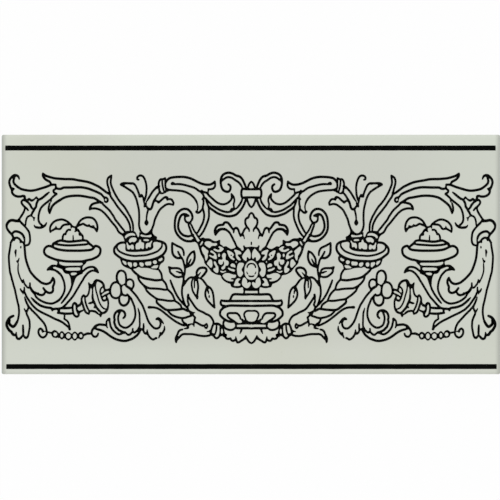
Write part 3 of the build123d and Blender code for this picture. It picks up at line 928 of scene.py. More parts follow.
@dataclass
class ShellBowl(Motif):
    """The shell-shaped bowl with its areas of light and dark, and the beads that hang under it."""

    name: str = "shell_bowl"
    marks: tuple[Mark, ...] = (
        # The beads under the bowl
        blot("43.4,-0.6 43.3,-2.2 43.9,-3.4 45,-4.2 45.7,-5.2 46,-6.6 46.4,-7.5 48,-7.3 49.5,-7.1 "
             "50.8,-6.6 52,-6.4 54,-6.3 55.3,-6.3 56,-5.9 56.8,-6.1 57.5,-6.6 58.6,-6.8 59.8,-7.2 "
             "61.2,-6.7 62.4,-6.2 63.6,-5.6 64.7,-4.6 65.2,-3.3 65.6,-2 65.4,-0.7 63.8,-1.5 60,-2.3 "
             "55,-2.6 50,-2.2 46.6,-1.2 44.6,-0.1"),
        gap("44.3,-1.7 44.8,-1.2 45.4,-1.6 46.2,-2 46.4,-2.5 46,-2.9 45.3,-2.9 44.6,-2.4"),
        gap("47.3,-2.9 47.9,-2.5 48.7,-2.7 49.2,-3.2 48.9,-4 48.2,-4.4 47.5,-4.2 47.2,-3.6"),
        gap("50,-3.3 50.6,-3 51.6,-3.2 52.6,-3.3 53.1,-3.9 52.9,-4.7 52.2,-5.1 51.2,-5 50.4,-5 50,-4.4"),
        gap("53.7,-4.4 54.2,-3.8 55,-3.6 55.7,-3.6 55.9,-4.2 55.6,-5 55,-5.6 54.3,-5.6 53.8,-5.1"),
        gap("57.1,-4.3 57.6,-3.6 58.4,-3.6 58.9,-4.2 58.9,-5 58.4,-5.6 57.7,-5.6 57.2,-5.1"),
        gap("46.6,-5 47.5,-5 48.5,-5.1 49.3,-5.6 50,-6.2 49.6,-6.5 48.4,-6.5 47.2,-6.4 46.7,-5.8"),
        gap("59.6,-4.6 59.9,-3.6 60.5,-3.1 61.3,-3.2 61.8,-3.8 61.6,-4.7 61,-5.3 60.2,-6 59.7,-5.6"),
        gap("62.4,-3.9 62.8,-3 63.4,-2.4 64,-2.3 64.4,-2.9 64,-3.7 63.3,-4.5 62.6,-4.8 62.3,-4.5"),
        # The dark hood over the bowl, with the leaves left bare in it
        blot("49.2,5.9 49.1,4.9 48.8,4.2 49.2,3.5 50.4,2.8 52,2.35 54,2.1 57,1.85 60,1.9 62.5,2.1 63,3.1 "
             "62.9,5 63.1,6.6 63.5,7.4 63.8,8.5 64.3,9.5 65.1,10.3 64.2,10.9 63.4,12 62.3,12.2 60.6,12.3 "
             "58.7,12.2 57.8,11.5 57.2,10.4 56.6,9.3 56.2,10.2 55.9,11.6 55.2,11.2 54.4,10.6 53.2,10.3 "
             "52,10.5 50.8,11.2 49.8,11.6 49.3,10.5 48.5,9.9 47.4,9.5 47,8.7 47.4,7.9 48.2,7.4 49.3,7"),
        gap("49.8,9.9 50.1,10.25 51,10.1 52.5,9.85 54,10.1 54.8,10.4 55.3,10.2 55.3,9.7 54.5,9.3 53,9.2 "
            "51.5,9.1 50.5,9.05 50,9.3"),
        gap("51.1,7.5 51.5,7.95 52.4,8.05 53.3,8.05 53.8,7.8 53.8,7.4 53.2,7.2 52.2,7.15 51.5,7.15"),
        gap("49.5,7.3 50,7.2 50.5,6.5 51.2,6.2 52.1,6.1 52.6,5.4 52.7,4.4 52.6,3.6 52.2,3.4 51.8,3.8 "
            "51.5,4.3 50.9,4.1 50.3,4.1 50.2,5 50.1,5.8 49.7,6.6"),
        gap("53.7,6.1 54.2,6.4 54.8,6.5 55.1,7 55.2,7.7 55.7,7.8 56,7.2 56.3,6.4 57,6.1 57.6,5.6 57.8,4.6 "
            "57.7,3.3 57,2.65 56.2,2.65 55.7,3.2 55.1,3.7 54.7,3.2 54.2,2.9 53.8,3.3 53.6,4.3 53.6,5.2"),
        gap("56.2,12 56,10.8 56.1,9.6 56.5,9.1 56.85,9.6 56.85,10.6 57.05,11.5 56.8,12.2"),
        gap("58,10.2 58.5,10.85 59.5,11.1 60.8,11 62.1,10.45 63,9.6 63.05,8.7 62.6,8.5 62.1,9 61.4,9.5 "
            "60.3,9.85 59,9.9 58,9.85"),
        gap("57.3,8.2 57.7,8.75 58.6,8.9 59.6,8.85 60.5,8.4 61,7.8 61.2,7.2 60.9,6.5 60.4,6.3 60,6.5 "
            "59.5,6.8 58.7,6.6 58,6.9 57.5,7.5"),
        gap("58.8,4.8 59.2,5.3 59.8,5.3 60.3,4.9 61,4.9 61.6,5.5 61.9,6.3 62.3,6.3 62.35,5.2 62.2,4.2 "
            "61.9,3.4 61.6,2.75 61.1,2.75 60.6,3.3 60.2,3.5 59.7,2.85 59.1,2.75 58.7,3.3"),
        # The bowl's outlines
        line("47.8,7.8 47.2,7.3 46.2,7.1 45,6.8 43.8,6.3 42.9,5.5 42.5,4.3 42.5,3.2 42.9,2 43.5,1.1 "
             "44.2,0.3 45.4,-0.5 46.7,-1.2 48.3,-1.8 50,-2.3 52.1,-2.6 55,-2.85 57.9,-2.95 60,-2.95 "
             "62,-2.65 63.3,-2.25 64.5,-1.75 65.4,-1.25 66.3,-0.6 67.2,0.1 68.1,0.9 68.5,1.85 68.55,2.8 "
             "68.3,3.7 67.6,4.6 66.8,5.4 65.9,6 65,6.3 63.8,6.4 62.9,6.5", Pen.FULL),
        line("44.6,5.9 44.6,4.9 44.9,4 45.7,3 46.7,2.1 47.9,1.5 49.2,1 50.8,0.5 52.3,0.1 53.8,-0.1 56,-0.2 "
             "58,-0.35 60,-0.15 61.5,0.15 62.95,0.55 64.3,1.1 65.5,1.7 66.4,2.4 66.95,3.2 "
             "67.25,4.2", Pen.LIGHT, start=0.8),
        line("49.5,5.7 49.5,4.5 49.8,3.7 50.8,3.1 52.3,2.7 54,2.5 56,2.4 57.9,2.25 60,2.3 61.2,2.35 "
             "62.3,2.55", Pen.FULL),
        line("62.3,2.5 62.45,3.6 62.55,4.8 62.7,5.8", Pen.FINE),
        blot("44.9,5.6 45.3,6.2 46.1,6.6 47.4,6.7 48.6,6.5 49.2,5.8 49.4,7.2 48.2,7.8 46.6,7.3 44.6,6.8"),
        blot("62.6,5 63,5.5 63.8,5.85 65,5.85 66.1,5.3 66.6,4.5 66.8,3.6 67.5,4.3 67,5.6 66.2,6.4 64.8,6.8 "
             "63,6.9"),
    )


@dataclass
class RopeHorn(Motif):
    """The horn, bound with a rope, that curves from the base up to the shell."""

    name: str = "rope_horn"
    marks: tuple[Mark, ...] = (
        # The horn's long edges
        line("46,-7.3 45.6,-8 45.05,-9 44.75,-10 44.65,-11 44.4,-12.1 43.6,-13.1 42.8,-14.1 42.4,-15.1 "
             "42.1,-16.1 41.9,-16.9 41,-17.8 40.2,-18.6 39.2,-20 38.7,-21.2 38.1,-22.4"),
        blot("45,-8.4 45.5,-7.5 46.2,-7.1 46.5,-7.6 46.2,-8.2 45.6,-8.8"),
        line("51.1,-26 50,-26 48.5,-26.1 46.9,-26.5 45.4,-27.3 43.8,-28.45 42.2,-29.8 40.7,-31 39.1,-32.2 "
             "37.7,-33.15 36.2,-34 34.6,-34.75 33.3,-35.2", start=1.3),
        line("59.8,-6.8 59,-7.8 58.1,-8.7 56.9,-9.7 55.8,-10.6 54.2,-11.3 52.7,-11.7 50.8,-12 49.2,-12.3 "
             "47.7,-12.5 46,-12.4 44.4,-12.2", Pen.FULL),
        line("56.8,-9.9 56.55,-10.9 56.15,-12.2 55.5,-13.2 54.6,-14.2 53.5,-15.2 52.1,-16 50.8,-16.5 "
             "48.8,-16.6 46.9,-16.7 45,-16.9 43.4,-17.2 42,-17.2"),
        # The turns of the rope across the horn
        line("53.7,-15.3 52.8,-16.4 52.3,-17.6 51.4,-18.6 50.3,-19.6 48.8,-20.7 47.3,-21.7 46,-22.1 "
             "44.2,-22.3 41.9,-22.7 40,-22.8 38.3,-22.7"),
        line("47.3,-21.8 47.2,-23.5 46.3,-24.5 45.2,-25.4 43.9,-26.4 42.6,-27.2 40.8,-27.4 39,-27.3 "
             "37.3,-27.2 35.6,-26.95 33.8,-26.8", Pen.FULL),
        blot("40.4,-27.4 41.6,-27 43,-26.7 43.4,-26.8 42.7,-27.5 41.9,-28 41.2,-28.6 40.9,-28.1"),
        line("38.3,-22.8 37.3,-23.3 36.2,-24.1 35.3,-24.9 35,-25.7 34.8,-26.4"),
        line("34.9,-26.5 33.8,-26.8 32.8,-27.3 31.8,-27.9", Pen.FULL),
        line("41.5,-28.1 40.6,-29 39.8,-29.7 38.8,-30.25 37.3,-30.85 35.8,-31.2 34.4,-31.4 32.9,-31.2 "
             "31.5,-30.7 30,-30.3"),
        blot("34,-31.2 35.3,-31.2 35.3,-31.8 34.8,-32.4 34.3,-32.7 34,-32"),
        line("34.6,-31.5 34.4,-32.6 34,-33.3 33.3,-34.1 32.3,-34.8"),
        line("31.5,-19.7 31.6,-20.8 31.6,-21.8", Pen.BROAD),
        line("31.7,-21.6 31.75,-22.8 31.5,-23.8 31.2,-24.7 31.6,-25.4 32.2,-26.1"),
        blot("33.4,-22.6 34.3,-22.7 35,-23.3 34.6,-24 33.8,-24.9 33,-25.5 32.4,-25.4 33,-24.4"),
        blot("31.3,-26 32.2,-26 32.3,-26.8 33,-27 32.6,-27.8 31.6,-28.2 31,-28.9 30.7,-29.6 30.9,-30.3 "
             "30,-30.5 29,-30.3 28.5,-29.8 28.6,-29.1 28,-28.8 28,-28.4 28.9,-28.3 29.9,-27.9 30.7,-27.4 "
             "31.1,-26.8"),
    )


@dataclass
class BallCluster(Motif):
    """The cluster of round fruit beside the horn."""

    name: str = "ball_cluster"
    marks: tuple[Mark, ...] = (
        line("65,-7.6 66.1,-8 66.8,-9 67.15,-10 67.25,-11.2 67.1,-12.3 66.5,-13.4", Pen.FULL),
        line("65,-7.6 63.8,-8 62.95,-9 62.6,-10.5 62.55,-12 62.7,-13.4"),
        line("59.8,-12.2 60.7,-12 61.6,-12.2 62.3,-12.9 62.5,-13.8"),
        line("59.8,-12.2 59.1,-13 58.8,-14.2 58.85,-15.3 59.3,-16.3 59.9,-17"),
        blot("62.3,-13.2 62.9,-13.4 63.4,-14 64.2,-14.5 65,-14.6 65.7,-14.2 66.3,-13.3 67,-13.2 66.6,-14.4 "
             "65.8,-15 65.4,-15.8 65.3,-17 65,-18 64.7,-17 64.4,-15.7 63.9,-15.1 63.4,-15.1 62.9,-15.7 "
             "62.6,-16.1 62,-15.6 62,-14.6"),
        line("59.7,-17.1 60.5,-16.6 61.3,-16.1 62.1,-15.6", Pen.BROAD),
        line("61.2,-20.4 61.8,-19.9 62.6,-20.1 63.5,-20 64.2,-19.7 64.7,-18.9 64.95,-17.9 65.1,-16.8"),
        blot("60,-21.3 60.6,-20.2 61.3,-19.4 62.1,-19 62.6,-19.6 62.4,-20.4 61.7,-20.7 61.1,-21.2 60.7,-22 "
             "60.1,-22"),
        line("66,-14.2 67.3,-13.45 68.8,-13.8 69.7,-14.7 70.25,-16 70.5,-17.4 70.45,-18.6 70.1,-19.8 "
             "69.3,-20.9 68.1,-21.4 66.8,-21.3 65.75,-20.6 65.15,-19.4 65,-17.8 65.15,-16.2 65.45,-15 "
             "66,-14.2"),
        line("61.2,-20.8 61.05,-21.8 61.2,-22.9 61.8,-24 62.7,-24.85 63.8,-25.15 64.9,-24.7 65.7,-23.7 "
             "66,-22.3 66,-21", Pen.FULL),
        blot("64.1,-19.8 64.8,-19.1 65.2,-19.3 65.7,-20.3 66.2,-21 65.7,-21.3 65.2,-20.6 64.6,-20.2"),
    )


@dataclass
class Trumpet(Motif):
    """The fluted trumpet that stands by the cluster of fruit."""

    name: str = "trumpet"
    marks: tuple[Mark, ...] = (
        # The knob and the folds at its top
        blot("70.3,-16.3 71,-16.4 72.2,-16.8 73,-16.6 73.5,-15.7 74.3,-15.3 75,-15.8 75.7,-16.7 76,-18 "
             "75.9,-19.2 75.5,-20.5 75.2,-21.5 74.8,-22.3 74.4,-23 73.6,-23.3 72.9,-23.1 72.3,-22.8 "
             "71.3,-22.9 71.5,-21.4 71.9,-20.3 71.3,-19.7 70.5,-19.4 70.1,-18.8"),
        gap("73.6,-16.9 74,-16.3 74.5,-16.5 74.9,-17.2 75.1,-18 74.9,-18.6 74.4,-18.4 73.9,-17.8"),
        gap("71.1,-18.1 71.6,-17.85 72.3,-18 73.2,-18.5 74,-19 74.5,-19.5 74.7,-20.1 74.3,-20.2 73.7,-19.8 "
            "73,-19.4 72.1,-19 71.3,-18.6"),
        gap("72.8,-21.6 72.75,-20.9 73.05,-20.6 73.5,-20.8 74,-21.2 74.1,-21.6 73.8,-21.95 73.1,-22"),
        line("73.4,-16.8 73.6,-15.8 73.9,-14.6 74.5,-13.7 75.4,-13 76.5,-12.6 77.5,-12.6 "
             "78.2,-13.5", Pen.FULL),
        blot("76.8,-12.3 77.4,-11.8 78.3,-12.3 78.9,-13.1 79.3,-14 79.9,-14.4 80.4,-14.2 80.9,-13.6 "
             "81.5,-13.5 81.6,-14.3 81.4,-15.2 81.2,-17 80.6,-17.3 80.3,-16.7 80,-16.4 79.7,-17.1 79.1,-17 "
             "78.8,-16.4 78.5,-15.6 78.2,-16.1 77.9,-16.6 77.5,-16.2 77.5,-15 77.3,-14"),
        # The flutes
        line("71.8,-21.6 71.55,-22.7 71.47,-24 71.55,-25.3 71.8,-26.4", Pen.LIGHT),
        line("71.55,-25.6 71.95,-27 72.5,-27.95 73.3,-28.6 74.7,-29.05", Pen.FULL),
        blot("74.2,-28.4 75.2,-28.2 75.7,-29 76.1,-29.6 75.9,-30.4 75.4,-31 75,-30.9 74.7,-30.2 "
             "74.3,-29.3"),
        line("77.9,-15.6 77.75,-17 77.4,-18.5 76.95,-20 76.55,-21.5 76.2,-22.8 75.7,-24 75.05,-25.2 "
             "74.4,-26 73.7,-26.6 72.8,-26.9", Pen.FINE),
        line("79.4,-16.4 79.3,-17.6 79.35,-19 79.4,-20.2", Pen.FINE),
        line("79.4,-20 79.3,-21.3 79,-22.5 78.6,-23.4 78.2,-24.2 77.8,-25.2 77.3,-26.2 76.6,-27 75.9,-27.8 "
             "75.1,-28.6", Pen.FULL),
        blot("79,-19 79.7,-19.4 79.9,-21.2 79.6,-22.9 80.6,-23.3 81.4,-23.7 81.6,-24.1 81.2,-24.4 "
             "80.3,-24.5 79.2,-24.1 78.4,-24.4 78.2,-23 78.7,-21.2"),
        blot("77.4,-25 78.2,-25.1 78.9,-26 78.7,-26.5 78,-26.5 77.3,-26.9 76.8,-26.4"),
        line("80.9,-16.4 80.95,-17.2 81.1,-18.2 81.35,-19.2 81.8,-20 82.5,-20.6 83.3,-20.4 "
             "83.9,-19.9", Pen.LIGHT),
        line("83.9,-20 84.4,-20.6 84.8,-21.8 84.85,-23.2 85.2,-24.2 85.8,-24.8 86.9,-25.1"),
        blot("82.9,-20.3 83.3,-19.6 83.9,-19.5 84.5,-20 84.7,-21 84.3,-21.2 83.9,-20.8 83.4,-21.3 "
             "82.9,-21"),
        line("83.1,-20.9 83.1,-22 82.95,-23 82.7,-24 82.4,-25 82,-26 81.5,-27 81.1,-27.9", Pen.LIGHT),
        line("84.75,-22.5 84.5,-23.7 84.05,-25.2 83.55,-26.7 83,-28 82.3,-28.8 81.2,-29.3"),
        # The cup and the bead at its foot
        line("75.9,-29.6 76.5,-29.3 77.2,-28.75 78,-28.15 79,-27.9 80,-27.8 81,-28.1", start=0.6),
        blot("80.4,-27.5 81,-27.1 81.5,-27.6 81.4,-28.3 81.9,-28.9 82,-29.3 81.4,-29.6 80.8,-29.3 "
             "80.5,-28.7"),
        blot("83.6,-27.5 84,-26.9 84.6,-25.6 85.6,-25.1 86.8,-25.2 87.3,-26.4 87.2,-27.8 86.6,-28.6 "
             "85.4,-28.4 84.2,-28"),
        gap("84.2,-26.6 84.5,-25.9 85,-25.4 85.6,-25.6 86.3,-25.9 86.8,-26.4 86.7,-27 86.2,-27.6 "
            "85.4,-27.6 84.6,-27.3 84.1,-27"),
        line("84.6,-27.8 85.6,-28.2 86.3,-29.3"),
        line("86.9,-25.4 87.6,-24.2 88.3,-23.85 88.9,-24.3 89.25,-25.3 89.3,-26.5 89.15,-27.8 88.8,-29.3 "
             "88.2,-30.2 87.3,-30.7 86.5,-30.4 86.2,-29.7 86.5,-28.9 87,-27.9 87.3,-26.8 87.4,-25.6"),
        blot("87,-25 87.4,-23.9 88.2,-23.2 88.9,-23.7 89,-24.5 88.2,-24.7 87.9,-25.4 87.4,-26 87,-25.6"),
    )


@dataclass
class AcanthusScroll(Motif):
    """The large leafy scroll at the foot of the frieze."""

    name: str = "acanthus_scroll"
    marks: tuple[Mark, ...] = (
        # The long back of the leaf and its hooked foot
        line("60.3,-17.2 59.1,-18.4 58,-19.6 57,-20.9 56.1,-22.3 55.2,-23.7 54.4,-25 53.8,-26.4 53.1,-28.3 "
             "52.5,-30 51.9,-31.8 51.2,-33.3 50.3,-34.6 49.3,-35.7 48.3,-36.45 47.2,-36.6 46.3,-36.3 "
             "45.7,-35.6 45.35,-34.6 45.35,-33.5 45.7,-32.4 46.7,-32"),
        blot("43.6,-34.4 43.8,-33.5 44.4,-32.5 45.1,-31.6 45.8,-31.1 46.5,-30.8 47.3,-31.1 47.9,-31.8 "
             "47.8,-32.4 47,-32.5 46.4,-32.6 46,-33.3 45.3,-33.6 44.9,-33.5 44.4,-34.1 44.1,-34.5"),
        line("56.6,-26.4 56.3,-27.5 55.9,-29.1 55.8,-31.4 55.75,-33.3 55.7,-34.8 "
             "55.8,-36.2", Pen.LIGHT, start=0.5),
        blot("55.2,-34 55.7,-33 56.15,-34.2 56.3,-35.4 56.9,-36.6 56.3,-37 55.5,-37.6 54.8,-37.5 "
             "54.2,-37.7 53.6,-37.8 53.5,-36.7 54.2,-36.4 55,-36.4 55.4,-35.7"),
        line("60.9,-20.6 60.2,-21.4 59.65,-22.5 59.05,-24 58.45,-25.5 58.05,-27.4 57.9,-29.4 58.1,-31 "
             "58.65,-32.5 59.35,-33.8 60.2,-34.8 61.2,-35.6 62.3,-36.15 63.6,-36.15 64.8,-35.6 65.8,-34.7 "
             "66.3,-33.3 66.55,-31.8 66.45,-30.5 66.1,-29.4 65.5,-28.2"),
        # The lobes along the leaf's lower edge
        line("43.4,-35.4 43.35,-36.5 43.5,-37.4 44,-38.3 44.7,-39.3 45.5,-39.9 46,-40.7 "
             "46.2,-41.3", start=0.5, end=0.6),
        blot("44.6,-38.7 45.3,-38.3 45.9,-38.5 46,-39.5 45.8,-40.4 45,-39.8"),
        line("47.3,-41.4 48.3,-41.8 48.9,-42.1 49.7,-41.85 50.5,-41.2 51.2,-40.3 51.7,-39.3 51.95,-38.2 "
             "52,-37.3", end=0.6),
        blot("46.8,-41.3 47.3,-40.8 48,-40.9 48.6,-41.4 48.9,-42.3 48.2,-42.1 47.5,-41.8 46.9,-41.6"),
        blot("51.6,-38.6 51.9,-37.4 52.3,-37.4 52.5,-38.1 53,-38.6 53.5,-38.5 53.2,-39.3 52.4,-39.6 "
             "51.7,-39.5"),
        line("52,-39.3 52.8,-39.2 53.4,-38.7 53.8,-37.9 54.3,-37.2"),
        line("53.8,-34.3 53.8,-35.2 53.8,-36.4 53.85,-37.6", start=0.8),
        line("55.6,-36.7 56.4,-37 57,-37.65 57.7,-38.3 58.5,-38.6 59.1,-38.1 59.3,-37.3 "
             "59.2,-36.7", end=0.8),
        line("59.3,-38.1 60.1,-39.1 60.8,-39.65 61.5,-39.75 62.2,-39.3 62.7,-38.8"),
        line("54.8,-36.9 55.45,-37.5 55.95,-38.4 56.5,-39.3 57.1,-40 57.9,-40.65 58.8,-41.35 60,-41.95 "
             "61,-42.3 62.3,-42.7 64,-42.8 65.8,-42.5 67.3,-42.1 68.8,-41.4 70.2,-40.6 71.3,-39.8 "
             "72.5,-38.9 73.8,-38.1 75.4,-37.4 76.9,-37 78,-36.6", Pen.FULL),
        # The spiral and the leaf that wraps it
        line("63.9,-31.4 63.2,-30.6 63,-29.6 63.4,-28.5 64.3,-27.75 65.6,-27.5 66.7,-27.8 67.7,-28.6 "
             "68.3,-29.7 68.5,-31 68.3,-32.3 68.5,-33.5 68.1,-34.7 67.7,-35.8 66.7,-36.8 66.3,-37.3 "
             "65.4,-37.8 64.2,-38.3 63.1,-38.5", Pen.FULL),
        blot("62.2,-38.6 63,-38.1 64.4,-38.1 65.4,-38.2 65.2,-39.2 64,-39.4 62.8,-39.2"),
        blot("64.5,-27.9 65.6,-27.8 66.6,-28 66.6,-29 66.4,-30 65.9,-29.5 65.5,-28.9 65,-28.4"),
        line("64.8,-39.3 66.2,-39.5 67.5,-38.9 68.7,-37.9 69.6,-36.8 70.3,-35.4 70.6,-33.9 70.9,-32.5 "
             "70.9,-31.6"),
        blot("70.3,-31.6 70.8,-31.1 71.4,-31.2 72,-31.8 72.5,-32.4 72.6,-33.1 72,-33.2 71.5,-32.9 "
             "71.2,-33.4 70.6,-33.4"),
        line("72.3,-32.9 72.4,-34.3 72.3,-35.4 71.9,-36.2", end=0.6),
        # The tail that runs into the string of beads
        line("72.5,-35 73.5,-34.8 74.6,-34.7 75.8,-34.6 76.9,-34.9 77.9,-35.4 78.75,-36.4 79.4,-37.3 "
             "79.8,-38.5 80,-39.3", Pen.FULL),
        blot("77.2,-35.2 78.2,-35.5 79,-36.4 79.7,-37.6 79.2,-37.8 78.4,-37.1 77.6,-36.9 77.2,-36.3"),
        line("76.5,-39.1 76.8,-40 77.7,-40.7 78.7,-40.6 79.4,-39.8 79.7,-38.9"),
    )


@dataclass
class BeadString(Motif):
    """The string of beads between the scroll and the trunk."""

    name: str = "bead_string"
    marks: tuple[Mark, ...] = (
        line("79.8,-39.1 80.8,-39.2 81.8,-39.1 82.8,-39.45 83.9,-40", Pen.FULL, start=0.7),
        Blot(oval(85.15, -40.2, 1.6, 2.0)),
        Gap(oval(85.15, -40.25, 0.7, 0.9)),
        Blot(oval(86.65, -40.35, 0.75, 1.4)),
        Blot(oval(88.2, -40.4, 1.55, 2.3)),
        Gap(oval(88.2, -40.4, 0.9, 1.35)),
        Blot(oval(89.8, -40.4, 0.55, 1.4)),
        Blot(oval(91.45, -40.45, 1.7, 2.2)),
        Gap(oval(91.4, -40.35, 1.1, 1.25)),
        Blot(oval(93.15, -40.3, 0.65, 1.4)),
        Blot(oval(94.65, -40, 1.35, 2.15)),
        Gap(oval(94.7, -39.95, 0.65, 1.1)),
        Blot(oval(96.1, -40.15, 0.65, 1.3)),
        blot("96,-39.7 96.3,-38.4 97,-37.6 98,-37.3 98.9,-37.8 99.5,-38.6 99.4,-39.9 98.8,-40.9 97.8,-41.3 "
             "96.7,-41.3"),
        Gap(oval(97.55, -39.5, 0.85, 0.95)),
        line("99,-38.9 99.7,-38.75 100.4,-38.6 101.2,-38.4", Pen.LIGHT),
    )


@dataclass
class FountainFronds(Motif):
    """The two curling fronds over the fountain."""

    name: str = "fountain_fronds"
    marks: tuple[Mark, ...] = (
        line("77.2,11.9 76.9,13 76.85,14.2 77.05,15.4 77.5,16.6 78.3,17.8 79.4,18.6 81,18.95 82.4,18.9 "
             "83.8,18.45 85,17.7 85.8,16.9 86.5,15.8 87.1,14.7 87.6,14"),
        line("77.4,12.6 78,13.3 78.8,13.9 79.6,14.1 80.4,14.4 81.2,14.8 82,14.75 82.9,15.1 84,15.75 "
             "85,15.4 86.1,15 87.2,14.3"),
        blot("78.4,14.9 79,15.1 79.6,14.9 80,14.5 80.5,14.9 80.8,15.6 81.2,15.7 81.6,15.1 82,15 81.6,14.3 "
             "80.6,14 79.6,13.6 78.6,13.4"),
        blot("76.5,13.2 76.9,11.9 77.3,11.6 78,12.2 78.5,13.2 77.6,13.4 77.2,14 76.6,14"),
        blot("86.8,14.2 88.3,14.2 88.2,13 88.15,11.7 87.6,11.8 87.1,12.3 86.4,12.9 86.9,13.4"),
        line("87.8,14.1 88.6,14.15 89.3,14.4 89.9,14.9 90.4,15.5", Pen.LIGHT),
        line("90.1,15.4 89.95,14.6 90.05,13.6", Pen.LIGHT, start=1.1, end=0.6),
        line("87,12.8 86.3,12"),
        line("90.4,15.7 91,16.2 92,16.9 93,17.45 94,17.8 95.1,17.9 96.2,17.7 97.2,17.3 98.2,16.7 99.1,15.8 "
             "99.8,14.7 100.1,13.5 100.1,12.4 99.9,11.6"),
        line("90.6,15.55 91.5,15.45 93,15.35 94,15 94.7,14.3 95.2,13.5 95.8,13.1 96.6,13.2"),
        blot("96.3,13.4 96.8,14.2 97.2,14.9 97.6,14.1 98.1,13.6 98.8,13.2 99.7,12.4 100,11.4 99.3,11.7 "
             "98.4,12.1 97.5,12.6 96.4,12.7 95.4,12.8"),
        line("90.5,12.75 91.3,12.8 92,12.35 92.4,11.7 92.8,10.9 93,10.4"),
        blot("90,12.7 90.4,13.2 91,13.1 91.2,12.6 90.7,12.1 90.2,12.2"),
        blot("92.2,11.2 92.9,11.5 93.5,11 93.4,10.3 92.8,10 92.3,10.4"),
    )


@dataclass
class Fountain(Motif):
    """The fountain's covered bowl and its turned foot."""

    name: str = "fountain"
    marks: tuple[Mark, ...] = (
        # The turned foot, dark with three bare rings
        blot("82,-2.4 82.3,-3.4 82.8,-4.2 83.6,-4.9 84.1,-5.5 84.3,-6.3 84.3,-7.2 84.4,-8 85.2,-9.1 "
             "86.6,-10 88.4,-10.2 90.2,-10 91.4,-9 93,-8.4 94,-7.4 95.2,-6.2 96.8,-5.2 96.7,-4.2 96.6,-3.4 "
             "97.2,-2.6 96.6,-2.1 94,-2.9 90,-3.2 86,-3.2 83.6,-2.8"),
        gap("84.2,-4.3 84.6,-3.85 85.4,-3.65 87,-3.65 90,-3.65 92,-3.6 94,-3.4 95,-3.2 95.6,-3.2 95.9,-3.6 "
            "95.7,-4.2 95.2,-4.6 94.2,-5 93,-5.2 91,-5.2 88,-5.1 86,-5.15 85,-4.95 84.5,-4.7"),
        gap("85.4,-6.9 85.6,-6.3 86.2,-6.1 88,-6.15 90.5,-6.15 91.6,-6.25 92.5,-6.45 92.9,-6.9 92.6,-7.3 "
            "91.5,-7.6 90,-7.65 88,-7.6 86.5,-7.6 85.8,-7.4"),
        gap("87.1,-9 87.8,-8.7 88.8,-8.65 89.8,-8.75 90.2,-9.2 90,-9.8 89.3,-10 88.4,-9.9 87.6,-9.5"),
        # The bowl's outlines and its lip
        line("79,3.9 78.3,4.5 77.9,4.7 76.9,4.5 76,4 75.4,3 75.4,1.85 75.7,0.7 76.3,-0.15 77.2,-0.85 "
             "78.5,-1.5 80,-2.1 81.5,-2.35 82.8,-2.7 84.4,-3.05 86.9,-3.1 90,-3.1 92,-3.05 94,-2.85 "
             "95.8,-2.5 97.7,-2 99.2,-1.45 100.6,-0.85 101.8,-0.2 102.7,0.7 103.1,1.8 102.95,2.9 102.4,3.8 "
             "101.4,4.5 100.3,4.65 99.3,4.3 98.3,3.8", Pen.FULL),
        line("78.3,4.2 79.2,3.2 80.4,2.7 82.1,2.5 85,2.3 87.9,2.3 90,2.3 92.9,2.4 94.5,2.6 95.7,2.8 "
             "96.8,3.15 97.8,3.6 98.7,4.1", Pen.FULL),
        line("78.8,4 80,5.1 80.8,5.7 81.5,6.5 82.1,7.2 82.7,7.4", Pen.FULL),
        line("81.5,5.7 83.1,5.4 85,5.25 87.5,5.1 90,4.95 92.9,5 95,5.2 96.5,5.45 98.2,5.9"),
        # The lid, its dome and its knob
        line("82.3,7.3 83.8,7.5 85.6,7.3 87.5,7.1 90,6.85 91.9,6.85 93.8,7.2 95.4,7.4 96.3,7.05 97.3,6.5 "
             "98.2,5.9 98.6,4.6", Pen.FULL),
        blot("96.8,5.4 97.2,6.2 98.2,6.6 99,6.2 99.3,5.4 99.6,5 98.9,4.2 98.2,3.5 97.6,3.6 98,4.2 98.1,4.8 "
             "97.7,5.3"),
        line("84.25,7.6 84.15,8.8 84.3,9.6 84.7,10.2 85.3,10.8 85.8,11.4 86.1,12.1 86.6,12.8"),
        blot("85,10.9 85.7,11.8 86.3,11.5 86.4,10.8 86.3,10.1 85.9,9.7 85.2,9.7 84.7,10.1"),
        line("87,13 87.6,12.3 88.1,11.9", end=0.6),
        line("89.05,10 89,8.8 89,7.3", Pen.FINE, start=0.6),
        line("93.5,10.7 93.8,10.3 94.15,9.5 94.3,8.4 94.2,7.3"),
    )


